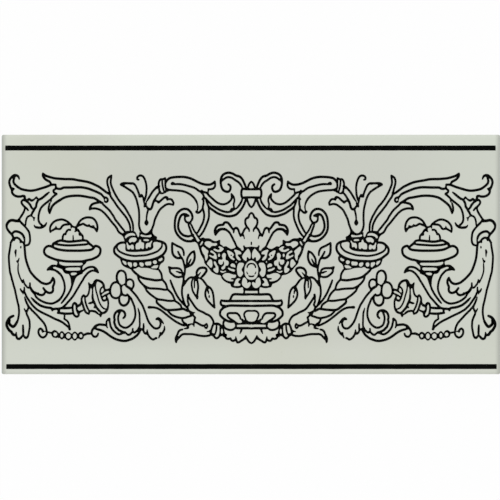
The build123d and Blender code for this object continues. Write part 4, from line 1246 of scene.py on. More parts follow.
@dataclass
class FountainStem(Motif):
    """The curling stem under the fountain, its brackets, and the long leaf below it."""

    name: str = "fountain_stem"
    marks: tuple[Mark, ...] = (
        # The left bracket and the stem's two edges
        line("76.5,-8.6 76.9,-7.7 77.7,-6.6 78.7,-5.95 79.8,-5.8 81,-5.95 82.1,-6.35 83,-6.95 83.9,-7.7 "
             "84.9,-8.4"),
        blot("76.2,-8.4 76.8,-7.3 77.6,-6.4 78.5,-6 79.2,-6.2 78.8,-6.6 78.6,-7 79,-7.4 79.8,-7.7 "
             "79.4,-8.1 78.4,-8.3 77.5,-8.6 76.9,-9 76.3,-9"),
        line("78.8,-7.6 79.6,-7.7 80.4,-8 81.2,-8.5 82,-9.2 82.75,-10.1 83.5,-11.1 84.05,-12.15 "
             "84.65,-13.1 85.25,-14.05 85.8,-15 86.4,-16 87,-17 87.85,-18.45 88.8,-20 89.8,-21.35 "
             "90.8,-22.5 91.8,-23.6 92.8,-24.75 94.4,-26.1"),
        line("84.6,-8.8 85.5,-9.1 86.7,-9.65 87.7,-10.5 88.4,-11.6 88.8,-12.8 89.25,-14.2 89.8,-15.8 "
             "90.15,-16.9 90.7,-18 91.3,-19.1 91.95,-20.1 92.65,-21.1 93.4,-22.1 94.1,-23 "
             "94.9,-23.95", end=0.7),
        blot("88.2,-10 89.2,-10 90.2,-9.9 91.4,-9 91.1,-9.8 90.7,-10.6 90.35,-11.8 90.2,-13 90.1,-15 "
             "90.1,-16.5 89.5,-16.5 89.2,-14.5 88.85,-13 88.4,-11.5"),
        # The right bracket and the curl that hangs from it
        line("96.5,-5.4 98.1,-5.2 99.2,-5.3 100.2,-6 101.1,-6.8 101.4,-7.3"),
        blot("97.4,-4.9 98.5,-4.8 99.4,-4.95 100.1,-5.4 100.9,-5.9 101.5,-6.5 101.6,-7.2 101.3,-7.7 "
             "100.5,-7.6 99.4,-7.5 98.4,-7.5 97.4,-7.9 97.1,-7.3 98,-6.7 98.6,-6.3 98.4,-5.9 97.5,-5.8"),
        line("96.8,-5.4 95.6,-5.8 94.4,-6.3 93.6,-7.2 93.1,-8.1 92.2,-8.6 90.8,-8.6", Pen.BROAD),
        line("99.4,-7.2 98,-7.35 96.9,-7.9 96,-8.8 95.2,-9.7 94.6,-10.7 94.1,-11.9 93.65,-13.1 93.35,-14.5 "
             "93.2,-16 93.3,-17.3 93.65,-18.6 94.2,-19.8 94.9,-21 95.7,-22.1 96.6,-23 97.6,-23.6 98.6,-24 "
             "99.6,-24.15 100.7,-24.05 102,-23.8 103.5,-23.25 105,-22.5 106.2,-21.65 107.1,-20.75 "
             "107.8,-19.5"),
        # The long leaf and the stalk that it grows from
        line("89.3,-26.1 90.6,-26.3 91.9,-26.4 93.5,-26.45 94.8,-26.4 96.2,-26.75 97.5,-26.75 98.7,-26.9 "
             "99.6,-26.4 100.8,-26.2 102.2,-26 103.6,-25.6 105,-25.05 106.3,-24.2 107.5,-23.2 108.5,-22.2 "
             "109.5,-21.2", Pen.FULL, end=0.5),
        blot("92.4,-26.1 93.3,-25.4 93.8,-25 94.5,-25.6 95.3,-26.2 96.4,-26.5 96.4,-27.1 95.2,-26.9 "
             "94,-26.8 92.6,-26.7"),
        blot("98,-26.6 99,-26.3 100.2,-26.3 99.9,-26.9 99.6,-27.5 99.1,-28.1 98.5,-27.8 98.2,-27.2"),
        line("96,-27 96.1,-28.6", Pen.FULL),
        line("89.1,-29 90,-29.1 91.9,-29.2 93.5,-29.15 94.8,-28.95 96.3,-28.8", Pen.FULL),
        blot("92.9,-29.2 93.6,-29.9 94.2,-29.5 94.4,-28.9"),
        line("93.3,-29.6 93.35,-30.8 93.4,-31.8 92.7,-32.3 91.9,-32.9 91.4,-33.7 91,-34.7 "
             "90.7,-36", Pen.LIGHT),
        line("90.75,-36.9 91.2,-36 92.2,-35.25 93.2,-34.4 94.2,-33.65 95.1,-33.1 96.2,-32.5 97.7,-31.8 "
             "99.2,-31 100.8,-30.2 102.3,-29.5 103.8,-28.8 105.4,-27.9 106.7,-27.1 108.1,-25.8 109.2,-24.6 "
             "110.4,-22.9 111.3,-21.6 112.1,-20.2 112.7,-18.6", start=1.3),
    )


@dataclass
class SideLeaf(Motif):
    """The wide leaf between the blades and the leaves at the end."""

    name: str = "side_leaf"
    marks: tuple[Mark, ...] = (
        blot("70.2,31.8 71.1,31.4 72,31.8 72.7,31.4 71.8,30.6 71.1,30 70.6,29.2 70.1,28.3 69.7,28.7 "
             "70,29.8"),
        line("71.3,30.8 72.1,31.3 73,31.95 74.5,33.1 76,34.2 77.8,35.1 79.5,35.9 81.5,36.6 84,37.1 "
             "86.5,37.5 89,38 91,38.1 93,38.1 96,38.3 98.3,38.6 100,39.05 101.3,39.45 102.4,39.9 "
             "103.5,40.8", Pen.FULL),
        line("103.7,40.9 103.75,40 103.25,38.95 102.4,38 101.4,37.35 100.4,36.85 99.85,36.1 "
             "99.5,35.2", Pen.FULL),
        blot("102.2,40 102.8,40.7 103.5,41.2 104,40.9 104.1,40 103.7,39 103.2,38.6 103,39.2 102.8,39.7"),
        line("74.2,29.7 75,30.55 76.2,31.2 77.6,31.85 79,32.4 81,33.2 83,33.7 85,34 87.5,34 90,33.9 "
             "92,33.9 94,33.8 95,33.3 96.5,33.3 97.3,33.8", Pen.FULL),
        line("74.2,29.5 73.3,29 72.4,28.75 71.85,28.2 71.7,27.5 72,26.9 72.6,26.6 73.2,26.9"),
        blot("72.1,28.9 73,29.3 73.9,29.3 73.5,28.6 73,28.2 72.3,28.3"),
        line("73.1,26.9 73.35,27.6 73.6,28.4 74.1,29.2", Pen.HAIR),
        line("74.3,26.1 75.6,26.8 76.6,27.4 77.6,28.1 78.8,28.65 80.5,28.9 82.5,29.3 85,29.7 87.5,29.8 "
             "90,29.65 92,29.3 94,28.6 95.8,27.4 97.1,26.4 98.25,25.4 99.1,24.4 99.6,23.2 100.1,21.8 "
             "100.3,21.1", Pen.FULL),
        line("76.3,26.2 77.6,26.15 78.8,25.85 79.7,25.3 80.3,24.5 80.7,23.6 "
             "80.75,22.9", Pen.FULL, start=0.6),
        blot("74.3,26.3 75.1,26.8 76,27.5 77,28.2 77.9,28.2 77.5,27.5 77.4,26.9 78,26.5 77.8,25.9 77,25.9 "
             "76,25.9 75.1,25.7 74.4,25.5"),
        line("80.7,22.9 80,23.3 78.3,23.45 76.8,23.2 75.3,22.6 74.3,21.9 73.3,21 72.4,20 71.5,18.9 "
             "70.4,17.5 69.2,16 68.1,14.8 67.2,13.5 66.5,12.1 65.7,11.2 64.8,10.7 63.5,10.3"),
        line("74.8,26.3 73.6,25 72.5,24 71.4,23 70.5,22 69.7,20.8 68.8,19.5 67.8,17.6 67.1,16.8 66.2,15.6 "
             "65.4,14.6 64.6,13.6 63.9,12.8 63.3,12"),
    )


@dataclass
class EndAcanthus(Motif):
    """The leafy head at the end of the frieze."""

    name: str = "end_acanthus"
    marks: tuple[Mark, ...] = (
        # The top edge and the hooked end of it
        line("97.4,35.35 99.4,35.25 100.6,34.8 102.4,34.1 104.4,33.5 106.5,32.85 108.2,32.45 110,32.3 "
             "111.5,32.45 113.2,32.75 114.8,33.25 116.2,34.15 117.3,35.05 118.1,36 118.4,37 118.25,38 "
             "117.9,39", Pen.FULL),
        line("115.5,38.1 115.75,38.95 116.4,39.75 117.4,40.1 118.3,39.9 119.2,39.2 120,38.2 120.5,36.8 "
             "120.3,35.4 119.8,34 119.2,32.8 119.1,31.5 118.7,30.7 117.7,29.85 116.3,29.4 114.8,29.4 "
             "113.5,29.7 112.8,29.4 112.7,28.4 112,27.3 111.1,26.5", Pen.FULL, start=0.6),
        blot("116.3,39.5 117,40.3 118,40.4 119,39.8 120,38.8 119.7,38.2 118.9,38.3 118.7,37.4 118.1,38.2 "
             "117.7,39 117.1,39.2"),
        blot("117.6,33.3 118.3,33.8 119.6,34.2 119.6,32.8 119.2,31.5 118.6,31.8 118.2,32.5"),
        # The inner edge and the hook at its foot
        line("97.5,35.3 97.2,34.2 97.35,33.3 98.4,32.4 98.1,31.4 97,30.7 97.9,29.9 98.8,29.1 99.9,27.9"),
        blot("99.1,28.3 99.9,28.2 100.1,27.2 99.8,26.3 99.3,26.7 99.1,27.5"),
        line("100.3,26 100.55,25 100.75,24.1 100.85,23.3 100.8,22.4 100.45,21.4 100.3,21"),
        line("99.8,28.1 100.9,27.1 101.9,26.3 103.3,25.15 104.4,24 105,22.9 105.45,21.6 105.75,20.4 "
             "105.9,19 105.9,17.8 105.65,16.8 105.1,15.9 104.2,15.2"),
        blot("101.6,16.3 102,16.5 102.5,15.8 103,15.3 103.7,15.2 104.3,15.5 105,15.9 105.2,15.3 104.7,14.6 "
             "105.2,14 104.2,13.5 103,14.1 102.1,14.9"),
        line("101.9,16.2 102.5,15.1 103.5,14.3 104.5,13.9 105.5,13.8 106.8,13.95 107.6,14.3 "
             "108.1,15.1", Pen.FULL, start=0.6, end=0.4),
        blot("107.4,19 108,19.1 108.9,19.8 109.1,20.6 109.8,20.7 110.4,20 111,19.6 110.5,19.2 109.9,19.3 "
             "109.2,19.1 108.7,18.5 108.4,17.3 108.2,16.9 107.9,17.3 107.8,18"),
        # The lobes that hang over the trunk
        line("100.6,31.5 101.5,30.8 102.6,29.85 103.6,29 104.8,28.2 105.8,27.8 106.35,27 106.8,26 107,25.1 "
             "107.15,24.2 107.7,23.5 108.2,22.5 108.8,21.6 109.2,20.7 109.4,20", Pen.FULL, start=0.6),
        line("109.7,20.2 110.4,19.7 111.2,19.3 111.75,18.5 112.05,17.6 112.25,16.7 112.3,15.8 "
             "112.4,15", Pen.LIGHT),
        blot("106,28.2 106.4,29.2 107,29.55 107.6,29.1 108.2,28.4 108.9,27.8 108.5,27.3 107.7,27.8 "
             "107.1,28.2 106.6,27.9"),
        line("107.9,28.1 108.6,27.6 109.4,27.4 110.1,27.8 110.7,28.1 111.4,27.5 "
             "112.3,27.7", Pen.FULL, start=0.7),
        line("111.3,26.6 110.5,25.8 109.9,24.95 109.5,24.1 108.9,23.3", Pen.FULL),
        blot("110.4,26.2 111,25.9 112,26.3 112.8,26.9 113.4,27 113.9,27.1 113.6,27.9 112.6,28.1 111.8,27.9 "
             "111,27.3"),
        blot("112.4,29.5 113.3,29.7 113.6,29.1 113.1,28.5 112.5,28.4"),
        line("113,28 113.9,27.5 114.4,26.6 114.1,25.7 113.3,24.7 112.4,23.9 111.6,23.2 111.1,22.5"),
        blot("112,23.9 112.8,24.8 113.4,24.4 113.2,23.5 112.8,23 112.3,23.3"),
        line("112.75,23.4 112.95,22.4 113.45,21.3 114.05,20.3 114.7,19.3 115.3,18.4 115.9,17.8"),
    )


@dataclass
class CollarTrunk(Motif):
    """The rolled collar at the end of the frieze, and the slender trunk that hangs from it."""

    name: str = "collar_trunk"
    marks: tuple[Mark, ...] = (
        # The rolled collar
        blot("115,17.7 115.8,17.9 116.6,17.6 116.8,16.6 115.6,16.4 115,16.8"),
        line("115.2,17.2 114.6,16.4 114,15.8 113.4,15.2 112.9,14.7 112.3,14", Pen.FULL),
        line("112.5,14.2 111.9,13.5 111.2,12.6 110.65,11.7 110.35,10.6 110.2,9.5 110.1,8.2 110.15,7 "
             "110.5,5.9 111,5.3 111.8,5 112.6,4.9"),
        line("112.8,7.2 112.9,8.1 113.1,8.9 113.5,9.8 114,10.5 114.7,11.1 115.5,11.55 116.4,11.85 "
             "117.3,11.95 118,11.8 118.5,11.4 118.9,10.9 119.2,10.5", Pen.FULL, start=0.6),
        line("118.6,8.8 117.6,8.7 116.7,8.8 115.9,8.5 115.3,8 114.75,7.35 114.2,6.7 113.6,6.45 113,6.6"),
        line("114.8,7.2 115,6.3", end=0.6),
        blot("117,8.9 118.8,9.2 118.9,8.3 118.6,7.6 118,7 117.5,7.6"),
        # The trunk's two edges and the curl at its root
        line("115.4,17.5 116.3,17.3 117.2,17.2 118.1,17.4 119,17.55 120,17.35 120.8,16.8 121.4,16 "
             "121.8,15.1 121.8,14.3", Pen.BROAD),
        line("121.8,14.6 121.75,13.8 121.4,13 120.85,12.2 120.3,11.5 119.8,11 119.2,10.4 118.85,9.8 "
             "118.55,9 118.6,8.2 119.2,7.25 119.8,6.3", Pen.FULL),
        line("119.7,6.6 119.9,5 120.1,3.7 120.3,2.5 120.5,1.2 120.7,-0.1 120.7,-2 120.6,-3.7 120.5,-5 "
             "120.3,-7 120.1,-8.5 119.8,-9.5 119.4,-10.9 119.1,-12.2 118.7,-13.5 118.4,-14.8 118,-16.1 "
             "117.6,-17.4 117.4,-18.6 117.1,-19.9 116.8,-21.3 116.5,-22.7 116.2,-23.9 115.9,-25 "
             "115.7,-26.5 115.6,-28 115.7,-29.7 115.9,-31 116.2,-32.3 116.6,-33.3"),
        line("116.4,-32.8 116.6,-33.3 117.2,-34.3 117.8,-35.2 118.7,-35.7 119.5,-35.2 120.2,-34.6 "
             "120.5,-33.6 120.3,-32.4", Pen.BROAD),
        line("112.9,6.8 113.1,5.8 112.9,4.8 112.8,3.7 112.7,2.5 112.6,1.2 112.5,-0.1 112.3,-1.4 112,-2.7 "
             "111.65,-3.9 111.2,-5.2 110.75,-6.4 110.2,-7.7 109.6,-8.7 108.7,-9.8 107.7,-10.9 106.8,-11.8 "
             "105.8,-12.6 104.7,-13.5 103.3,-14.1 102,-14.35 100.9,-14.1 100,-13.6 99.4,-12.8 99,-11.9 "
             "98.7,-11.2", Pen.FULL),
        line("98.6,-11.3 98.1,-12.2 97.95,-13.2 98.05,-14.2 98.4,-15 98.7,-15.8 98.6,-16.7 98.65,-17.6 "
             "99.1,-18.4 100,-18.8 101,-18.7 101.9,-18.2 102.6,-17.6 103.1,-16.9 "
             "103.45,-16.4", Pen.FULL, end=0.9),
        # The drop and the small leaves on the trunk
        blot("117.2,3.1 117.7,2.6 118,1.6 117.7,0.6 117.5,-0.4 117.3,-1.2 117,-0.5 116.9,0.6 116.8,1.8 "
             "116.8,2.7"),
        line("114.7,4.4 114.75,3.7", Pen.FINE),
        blot("115.4,-1.2 115.8,-1.3 116.2,-2.2 117,-2.7 117,-3.2 116.5,-3.8 116,-4.3 115.8,-3.5 "
             "115.5,-2.4"),
        line("116,-4.3 116.1,-5.8 116.1,-7.4 115.9,-8.7 115.5,-10 115,-11.4 114.4,-12.4", Pen.FINE),
        blot("113.2,-11.7 113.7,-12.1 114.3,-12.6 115,-12.3 114.5,-13.3 114,-14.1 113.5,-13.5 113.1,-12.7"),
        line("113.2,-13 113,-14 112.3,-15 111.5,-15.95", Pen.LIGHT),
        line("110.15,-13.9 110.15,-15.2 110.3,-16 111,-16.2 111.6,-15.9"),
        line("109.9,-16.2 109.45,-17.1 108.8,-18 108.1,-18.8 107.6,-19.6", Pen.BROAD),
    )


@dataclass
class TrunkFoot(Motif):
    """The gathered leaves round the trunk's foot."""

    name: str = "trunk_foot"
    marks: tuple[Mark, ...] = (
        line("102.3,-17.9 102.75,-18.8 103.3,-19.5 104.1,-19.9 105.1,-19.8 106.1,-19.5", Pen.FULL),
        blot("105.1,-19.4 105.5,-18.9 106,-18.4 106.6,-18.7 106.9,-19.3 106.7,-19.9 105.8,-20.1"),
        line("106.9,-18.9 107.7,-18.6 108.6,-18.2", Pen.FULL),
        line("113,-16 112.95,-17 113.2,-18 113.7,-18.4 114.3,-17.9 114.8,-17.1 "
             "114.9,-16.8", start=0.7, end=0.7),
        line("112.9,-18 112.7,-19 112.3,-19.8", Pen.LIGHT),
        line("113.75,-18.6 113.6,-19.4", Pen.HAIR),
        line("112.8,-20.9 112.5,-22 112.1,-23 111.6,-24.2 111.1,-25.1 110.5,-26 109.7,-26.8 109.2,-27.5 "
             "108.4,-28.2 107.7,-28.95 106.7,-29.9 105.8,-30.95 104.8,-32 103.9,-33 103.1,-34 102.6,-35 "
             "102.15,-36 101.95,-37 101.75,-38 101.65,-39 102,-39.9 102.7,-40.7 103.6,-41.1 104.5,-40.85 "
             "105.3,-40.1 105.8,-39.1 105.9,-38 105.6,-37.1 104.9,-36.65 104.2,-37 103.7,-37.6", start=0.6),
        blot("111.8,-24.2 111.7,-25.2 111.4,-26.2 111.2,-26.9 110.8,-26.6 110.3,-26.4 109.6,-26.8 "
             "110.4,-25.6 111.1,-24.8"),
        blot("101.2,-38 102,-37.6 102.6,-37.8 103.1,-37.6 103.6,-36.9 104.2,-36.3 105,-36.2 105.7,-36.7 "
             "104.9,-37.1 104.5,-37.7 104.2,-38.5 103.8,-38.8 103.1,-38.4 102.3,-38.4 101.8,-38.9 "
             "101.1,-38.7"),
        line("110.9,-26 111.2,-27 111.6,-27.9 111.9,-28.8"),
        blot("111.2,-27 111.9,-27.3 112.5,-27 112.8,-26.4 113.2,-26.4 113.2,-27.2 112.8,-28 112.4,-28.8 "
             "111.6,-28.9 111.2,-28"),
        line("112,-28.1 111.8,-29.3 111.3,-30.4 110.8,-31.6 110.4,-32.9 110.3,-34.2 110.25,-35.3 "
             "110.35,-36.5 110.6,-37.8 110.8,-39 111.1,-40.2 111.5,-41 112,-41.3 112.5,-41.2 113,-40.6 "
             "113.4,-39.9"),
        blot("111.6,-41.6 111.9,-40.7 112.3,-40.4 112.9,-40.7 113,-41.4 112.4,-41.9 111.9,-41.8"),
        line("113.65,-35 113.6,-36.2 113.55,-37.6 113.5,-38.8 113.6,-39.9", Pen.FULL, start=0.8),
        line("113.6,-40.1 114.2,-40.6 114.8,-41.3 115.4,-41.75 116,-41.8 116.6,-41.4 116.9,-40.6 "
             "117.1,-39.6 117,-38.6", Pen.FULL, end=0.6),
        line("117.1,-39.8 117.9,-39.85 118.6,-39.6 119.1,-38.9 119.6,-38.2 120.3,-37.7 121,-36.8 "
             "121.5,-35.9 121.8,-35 121.8,-34 121.5,-33.1 121,-32.2 120.4,-31.4 119.6,-30.8 "
             "118.5,-30.3", Pen.BROAD),
        blot("119.6,-31 120.6,-31.5 121.3,-32.4 122,-33.7 122.2,-35 121.4,-35 120.9,-34.4 120.2,-35 "
             "119.6,-35.6 119.9,-34.4 120.2,-33.3 120,-32.2"),
    )


@dataclass
class BorderBand:
    """One of the two straight bands that close the frieze above and below."""

    name: str
    first: float  # its left end
    last: float  # its right end
    middle: float  # the height of its middle
    thickness: float = 2.5
    waver: float = 0.03  # how far the printed edge strays from a straight line
    nib: float = 0.12  # how round the band's corners are
    swell_first: float = 0.03  # how far its left end bulges
    swell_last: float = 0.04  # how far its right end bulges
    places: int = 124  # along each edge

    def _ring(self) -> np.ndarray:
        """Trace the band.

        Returns:
            The ring of points round it, with the ink on its left.
        """
        under, over = self.middle - self.thickness / 2, self.middle + self.thickness / 2
        across = np.linspace(self.first + self.nib, self.last - self.nib, self.places)
        low = under + self.waver * np.sin(across * 0.47 + self.middle) * np.sin(across * 0.11)
        high = over + self.waver * np.sin(across * 0.39 - self.middle) * np.cos(across * 0.13)
        right = [(self.last, under + self.nib), (self.last + self.swell_last, self.middle),
                 (self.last, over - self.nib)]
        left = [(self.first, over - self.nib), (self.first - self.swell_first, self.middle),
                (self.first, under + self.nib)]
        return np.concatenate([np.column_stack([across, low]), right,
                               np.column_stack([across, high])[::-1], left])

    def build(self, face: PrintedFace, ink: bpy.types.Material) -> bpy.types.Object:
        """Make the band's raised ink and give the piece."""
        return raise_ink(self.name, [self._ring()], face, ink)


@dataclass
class Frieze:
    """The whole printed drawing: its motifs and the bands that close it."""

    face: PrintedFace = field(default_factory=PrintedFace)
    parts: tuple[Union[Motif, BorderBand], ...] = field(default_factory=lambda: (
        KnotScrolls(), Plume(), FlowerBasket(), VaseFoot(), RingedLeaf(), RibbonLoop(),
        LaurelBranch(), HornMouth(), Tulip(), BladeLeaves(), ShellBowl(), RopeHorn(),
        BallCluster(), Trumpet(), AcanthusScroll(), BeadString(), FountainFronds(), Fountain(),
        FountainStem(), SideLeaf(), EndAcanthus(), CollarTrunk(), TrunkFoot(),
        BorderBand("band_top", -123.0, 122.2, 53.65), BorderBand("band_bottom", -122.5, 122.7, -55.63)))

    def build(self, ink: bpy.types.Material) -> None:
        """Make every printed piece and report it.

        Args:
            ink: the ink's material.
        """
        for part in self.parts:
            piece = part.build(self.face, ink)
            LOG.info("%s: %d faces", piece.name, len(piece.data.polygons))


Value = Union["Signal", float, tuple[float, ...]]
Colour = tuple[float, float, float, float]


@dataclass(frozen=True)
class Signal:
    """A value that runs through a material's nodes, and can be worked with as a number is."""

    bench: "Bench"
    socket: bpy.types.NodeSocket

    def _meet(self, operation: str, first: Value, second: Value) -> "Signal":
        """Join two values through a Math node."""
        return self.bench.node("ShaderNodeMath", {"operation": operation}, {0: first, 1: second})

    def __add__(self, other: Value) -> "Signal":
        """Add a value."""
        return self._meet("ADD", self, other)

    def __radd__(self, other: Value) -> "Signal":
        """Add to a number."""
        return self._meet("ADD", other, self)

    def __sub__(self, other: Value) -> "Signal":
        """Take a value away."""
        return self._meet("SUBTRACT", self, other)

    def __rsub__(self, other: Value) -> "Signal":
        """Take this away from a number."""
        return self._meet("SUBTRACT", other, self)

    def __mul__(self, other: Value) -> "Signal":
        """Multiply by a value."""
        return self._meet("MULTIPLY", self, other)

    def __rmul__(self, other: Value) -> "Signal":
        """Multiply a number."""
        return self._meet("MULTIPLY", other, self)

    def __abs__(self) -> "Signal":
        """Drop the sign."""
        return self._meet("ABSOLUTE", self, 0.0)


class Bench:
    """The nodes of one material, laid out one after another."""

    def __init__(self, name: str) -> None:
        """Start an empty material.

        Args:
            name: the material's name.
        """
        self.material = bpy.data.materials.new(name)
        self.material.use_nodes = True
        self.tree = self.material.node_tree
        self.tree.nodes.clear()

    def node(self, kind: str, settings: dict[str, Any], values: dict[Union[int, str], Value],
             out: Union[int, str] = 0) -> Signal:
        """Add one node.

        Args:
            kind: the node's type.
            settings: its settings, made first.
            values: the numbers, colours or links of its sockets.
            out: the output that is wanted.

        Returns:
            That output.
        """
        node = self.tree.nodes.new(kind)
        for name, setting in settings.items():
            setattr(node, name, setting)
        for key, value in values.items():
            if isinstance(value, Signal):
                self.tree.links.new(value.socket, node.inputs[key])
            else:
                node.inputs[key].default_value = value
        return Signal(self, node.outputs[out])

    def place(self) -> Signal:
        """Give the place on the piece, in metres."""
        return self.node("ShaderNodeTexCoord", {}, {}, "Object")

    def part(self, vector: Signal, axis: str) -> Signal:
        """Give one number of a place: X, Y or Z."""
        return self.node("ShaderNodeSeparateXYZ", {}, {0: vector}, axis)

    def noise(self, scale: float, detail: float = 3.0, rough: float = 0.5) -> Signal:
        """Give a cloudy value that lies round 0.5.

        Args:
            scale: how many clouds there are to a metre.
            detail: how many finer layers there are.
            rough: how strong the finer layers are.

        Returns:
            The value.
        """
        return self.node("ShaderNodeTexNoise", {}, {"Vector": self.place(), "Scale": scale,
                                                    "Detail": detail, "Roughness": rough})

    def ease(self, value: Signal, low: float, high: float) -> Signal:
        """Turn a value into a soft step that goes from 0 at low to 1 at high."""
        return self.node("ShaderNodeMapRange", {"interpolation_type": "SMOOTHSTEP"},
                         {"Value": value, "From Min": low, "From Max": high})

    def blend(self, share: Value, first: Value, second: Value) -> Signal:
        """Mix two colours by a share."""
        return self.node("ShaderNodeMix", {"data_type": "RGBA"}, {0: share, 6: first, 7: second}, 2)

    def bump(self, height: Signal, strength: float, distance: float) -> Signal:
        """Turn a height into a normal."""
        return self.node("ShaderNodeBump", {}, {"Strength": strength, "Distance": distance,
                                                "Height": height})

    def finish(self, surface: Signal) -> bpy.types.Material:
        """Join a surface to the material's output.

        Args:
            surface: the shader.

        Returns:
            The material.
        """
        output = self.tree.nodes.new("ShaderNodeOutputMaterial")
        self.tree.links.new(surface.socket, output.inputs["Surface"])
        return self.material


def paint(red: int, green: int, blue: int) -> Colour:
    """Turn a colour, as a screen shows it, into the light that it stands for.

    Args:
        red: its red, from 0 to 255.
        green: its green.
        blue: its blue.

    Returns:
        The same colour in linear light.
    """
    parts = [value / 255 for value in (red, green, blue)]
    light = [part / 12.92 if part <= 0.04045 else ((part + 0.055) / 1.055) ** 2.4 for part in parts]
    return light[0], light[1], light[2], 1.0


@dataclass(frozen=True)
class GlazedBody:
    """Pale satin glaze over the face and the upper joint faces, with bare biscuit under it."""

    name: str = "glazed_body"
    glaze_line: float = 2.6 * MM  # above the back, where the glaze ends
    glaze_waver: float = 0.7 * MM  # how far that line wanders
    half_length: float = 124.75 * MM
    # painted shade at the short ends, where the rounded edges turn away from the light
    shaded_strip_width: float = 3.2 * MM  # how wide the darker strip at each end is
    # the glaze's own colour, with painted light and shade over it: darker in the middle, lighter towards
    # the sides, the bottom and the strip above the top band
    middle: Colour = paint(202, 205, 195)
    sides: Colour = paint(206, 210, 199)
    lower: Colour = paint(209, 213, 202)
    upper: Colour = paint(213, 218, 206)
    painted_edge_shade: Colour = paint(168, 171, 163)
    warm_clouds: Colour = paint(203, 205, 190)
    grey_clouds: Colour = paint(210, 211, 206)
    specks: Colour = paint(188, 190, 176)
    clay: tuple[Colour, Colour] = (paint(214, 205, 186), paint(231, 225, 211))
    clay_stain: Colour = paint(205, 192, 170)

    def _glaze(self, bench: Bench) -> Signal:
        """Make the glaze.

        Args:
            bench: the material's bench.

        Returns:
            The shader.
        """
        place = bench.place()
        across = abs(bench.part(place, "X"))
        up = bench.part(place, "Y")
        # painted light and shade across the face: lighter towards the sides, along the bottom and above the
        # top band
        face = bench.blend(bench.ease(across, 60 * MM, 115 * MM), self.middle, self.sides)
        for share, colour in (
                (bench.ease(up, -40 * MM, -50 * MM), self.lower),
                (bench.ease(up, 52.5 * MM, 54.5 * MM), self.upper),
                (0.55 * bench.ease(bench.noise(9.0, 2.0), 0.5, 0.72), self.warm_clouds),
                (0.4 * bench.ease(bench.noise(26.0, 4.0, 0.6), 0.52, 0.8), self.grey_clouds),
                (0.35 * bench.ease(bench.noise(620.0, 2.0, 0.6), 0.66, 0.78), self.specks),
                # painted shade: darker towards the two short ends, where the rounded edges fall off in
                # light
                (0.8 * bench.ease(across, self.half_length - self.shaded_strip_width, self.half_length),
                 self.painted_edge_shade)):
            face = bench.blend(share, face, colour)
        gloss = 0.3 + 0.1 * bench.noise(140.0, 4.0)
        relief = bench.noise(160.0) + 0.25 * bench.noise(900.0, 2.0)
        return bench.node("ShaderNodeBsdfPrincipled", {}, {
            "Base Color": face, "Roughness": gloss, "Specular IOR Level": 0.4,
            "Normal": bench.bump(relief, 0.12, 0.2 * MM)})

    def _biscuit(self, bench: Bench) -> Signal:
        """Make the bare fired clay.

        Args:
            bench: the material's bench.

        Returns:
            The shader.
        """
        grain = bench.noise(900.0, 5.0, 0.7)
        clay = bench.blend(bench.ease(grain, 0.35, 0.7), *self.clay)
        stain = bench.ease(bench.noise(30.0), 0.5, 0.75)
        clay = bench.blend(stain * 0.5, clay, self.clay_stain)
        return bench.node("ShaderNodeBsdfPrincipled", {}, {
            "Base Color": clay, "Roughness": 0.8 + 0.15 * grain, "Specular IOR Level": 0.25,
            "Normal": bench.bump(grain, 0.35, 0.3 * MM)})

    def make(self) -> bpy.types.Material:
        """Make the material of the whole tile.

        Returns:
            The material.
        """
        bench = Bench(self.name)
        height = bench.part(bench.place(), "Z") + self.glaze_waver * bench.noise(45.0, 4.0)
        glazed = bench.ease(height, self.glaze_line + 0.2 * MM, self.glaze_line + 0.6 * MM)
        surface = bench.node("ShaderNodeMixShader", {}, {
            0: glazed, 1: self._biscuit(bench), 2: self._glaze(bench)})
        return bench.finish(surface)


@dataclass(frozen=True)
class PrintedInk:
    """Fired black printing ink, a little uneven in depth."""

    name: str = "printed_ink"
    deep: Colour = paint(4, 5, 4)
    grey: Colour = paint(11, 12, 10)
    thin: Colour = paint(30, 31, 28)

    def make(self) -> bpy.types.Material:
        """Make the ink.

        Returns:
            The material.
        """
        bench = Bench(self.name)
        cloud = bench.ease(bench.noise(330.0, 4.0, 0.6), 0.4, 0.75)
        colour = bench.blend(cloud, self.deep, self.grey)
        thin = bench.ease(bench.noise(1500.0, 3.0, 0.6), 0.62, 0.75)
        colour = bench.blend(thin * 0.5, colour, self.thin)
        gloss = 0.42 + 0.12 * bench.noise(500.0)
        surface = bench.node("ShaderNodeBsdfPrincipled", {}, {
            "Base Color": colour, "Roughness": gloss, "Specular IOR Level": 0.02,
            "Normal": bench.bump(bench.noise(1200.0), 0.15, 0.05 * MM)})
        return bench.finish(surface)


@dataclass(frozen=True)
class PaleFloor:
    """A white floor that the camera sees as white, with the tile's soft shadow left on it."""

    name: str = "pale_floor"
    size: float = 6.0  # in metres
    drop: float = 0.1 * MM  # how far it lies under the tile
    lit: float = 0.95  # the share of it that shows as plain white
    matt: Colour = (0.86, 0.86, 0.86, 1.0)
    white: Colour = (1.0, 1.0, 1.0, 1.0)

    def _material(self) -> bpy.types.Material:
        """Make the floor's material.

        Returns:
            The material.
        """
        bench = Bench(self.name)
        seen = bench.node("ShaderNodeLightPath", {}, {}, "Is Camera Ray")
        glossy = bench.node("ShaderNodeLightPath", {}, {}, "Is Glossy Ray")
        through = bench.node("ShaderNodeLightPath", {}, {}, "Is Transmission Ray")
        matt = bench.node("ShaderNodeBsdfDiffuse", {}, {"Color": self.matt})
        white = bench.node("ShaderNodeEmission", {}, {"Color": self.white, "Strength": 1.0})
        share = (seen + glossy + through) * self.lit
        return bench.finish(bench.node("ShaderNodeMixShader", {}, {0: share, 1: matt, 2: white}))

    def build(self) -> None:
        """Lay the floor under the tile."""
        half = self.size / 2
        corners = [(-half, -half), (half, -half), (half, half), (-half, half)]
        mesh = bpy.data.meshes.new(self.name)
        mesh.from_pydata([(x, y, -self.drop) for x, y in corners], [], [(0, 1, 2, 3)])
        mesh.materials.append(self._material())
        floor = bpy.data.objects.new(self.name, mesh)
        bpy.context.scene.collection.objects.link(floor)


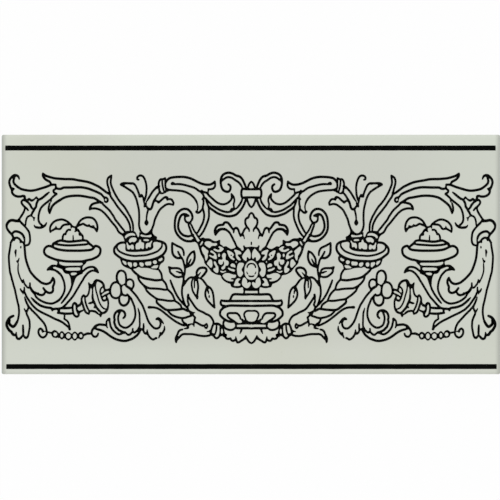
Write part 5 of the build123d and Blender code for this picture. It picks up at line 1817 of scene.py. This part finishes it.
@dataclass(frozen=True)
class Studio:
    """Even light from all round, a broad soft lamp above the tile's top edge, and the camera."""

    sky: float = 0.86
    sky_colour: Colour = (1.0, 1.0, 1.0, 1.0)
    lamp: float = 0.42
    lamp_width: float = 70.0  # how wide the lamp looks from the tile, in degrees
    lean: float = 35.0  # how far the lamp leans towards the tile's top edge, in degrees
    view_middle: Point = (-0.5, 2.24)
    view_width: float = 250.0
    distance: float = 2600.0  # from the camera to the glazed face
    sensor: float = 36.0
    far_clip: float = 20.0  # in metres

    def light(self) -> None:
        """Light the tile."""
        world = bpy.data.worlds.new("even_light")
        world.use_nodes = True
        sky = world.node_tree.nodes["Background"]
        sky.inputs["Color"].default_value = self.sky_colour
        sky.inputs["Strength"].default_value = self.sky
        bpy.context.scene.world = world
        lamp = bpy.data.lights.new("soft_lamp", "SUN")
        lamp.energy = self.lamp
        lamp.angle = math.radians(self.lamp_width)
        holder = bpy.data.objects.new("soft_lamp", lamp)
        holder.rotation_euler = (math.radians(-self.lean), 0, 0)
        bpy.context.scene.collection.objects.link(holder)

    def shoot(self, face: float) -> None:
        """Place the camera straight above the tile.

        Args:
            face: the height of the glazed face, in millimetres.
        """
        lens = bpy.data.cameras.new("camera")
        lens.sensor_width = self.sensor
        lens.lens = self.sensor * self.distance / self.view_width
        lens.clip_end = self.far_clip
        camera = bpy.data.objects.new("camera", lens)
        x, y = self.view_middle
        camera.location = (x * MM, y * MM, (face + self.distance) * MM)
        bpy.context.scene.collection.objects.link(camera)
        bpy.context.scene.camera = camera


def main() -> None:
    """Build the tile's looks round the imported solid."""
    logging.basicConfig(level=logging.INFO, format="%(name)s: %(message)s")
    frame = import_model()
    bpy.context.scene.view_settings.view_transform = "Standard"
    tile = frame["nodes"]["tile"]
    tile.data.materials.clear()
    tile.data.materials.append(GlazedBody().make())
    LOG.info("tile: glazed")
    frieze = Frieze()
    frieze.build(PrintedInk().make())
    PaleFloor().build()
    studio = Studio()
    studio.light()
    studio.shoot(frieze.face.height())
    LOG.info("studio: lit")


if __name__ == "__main__":
    main()
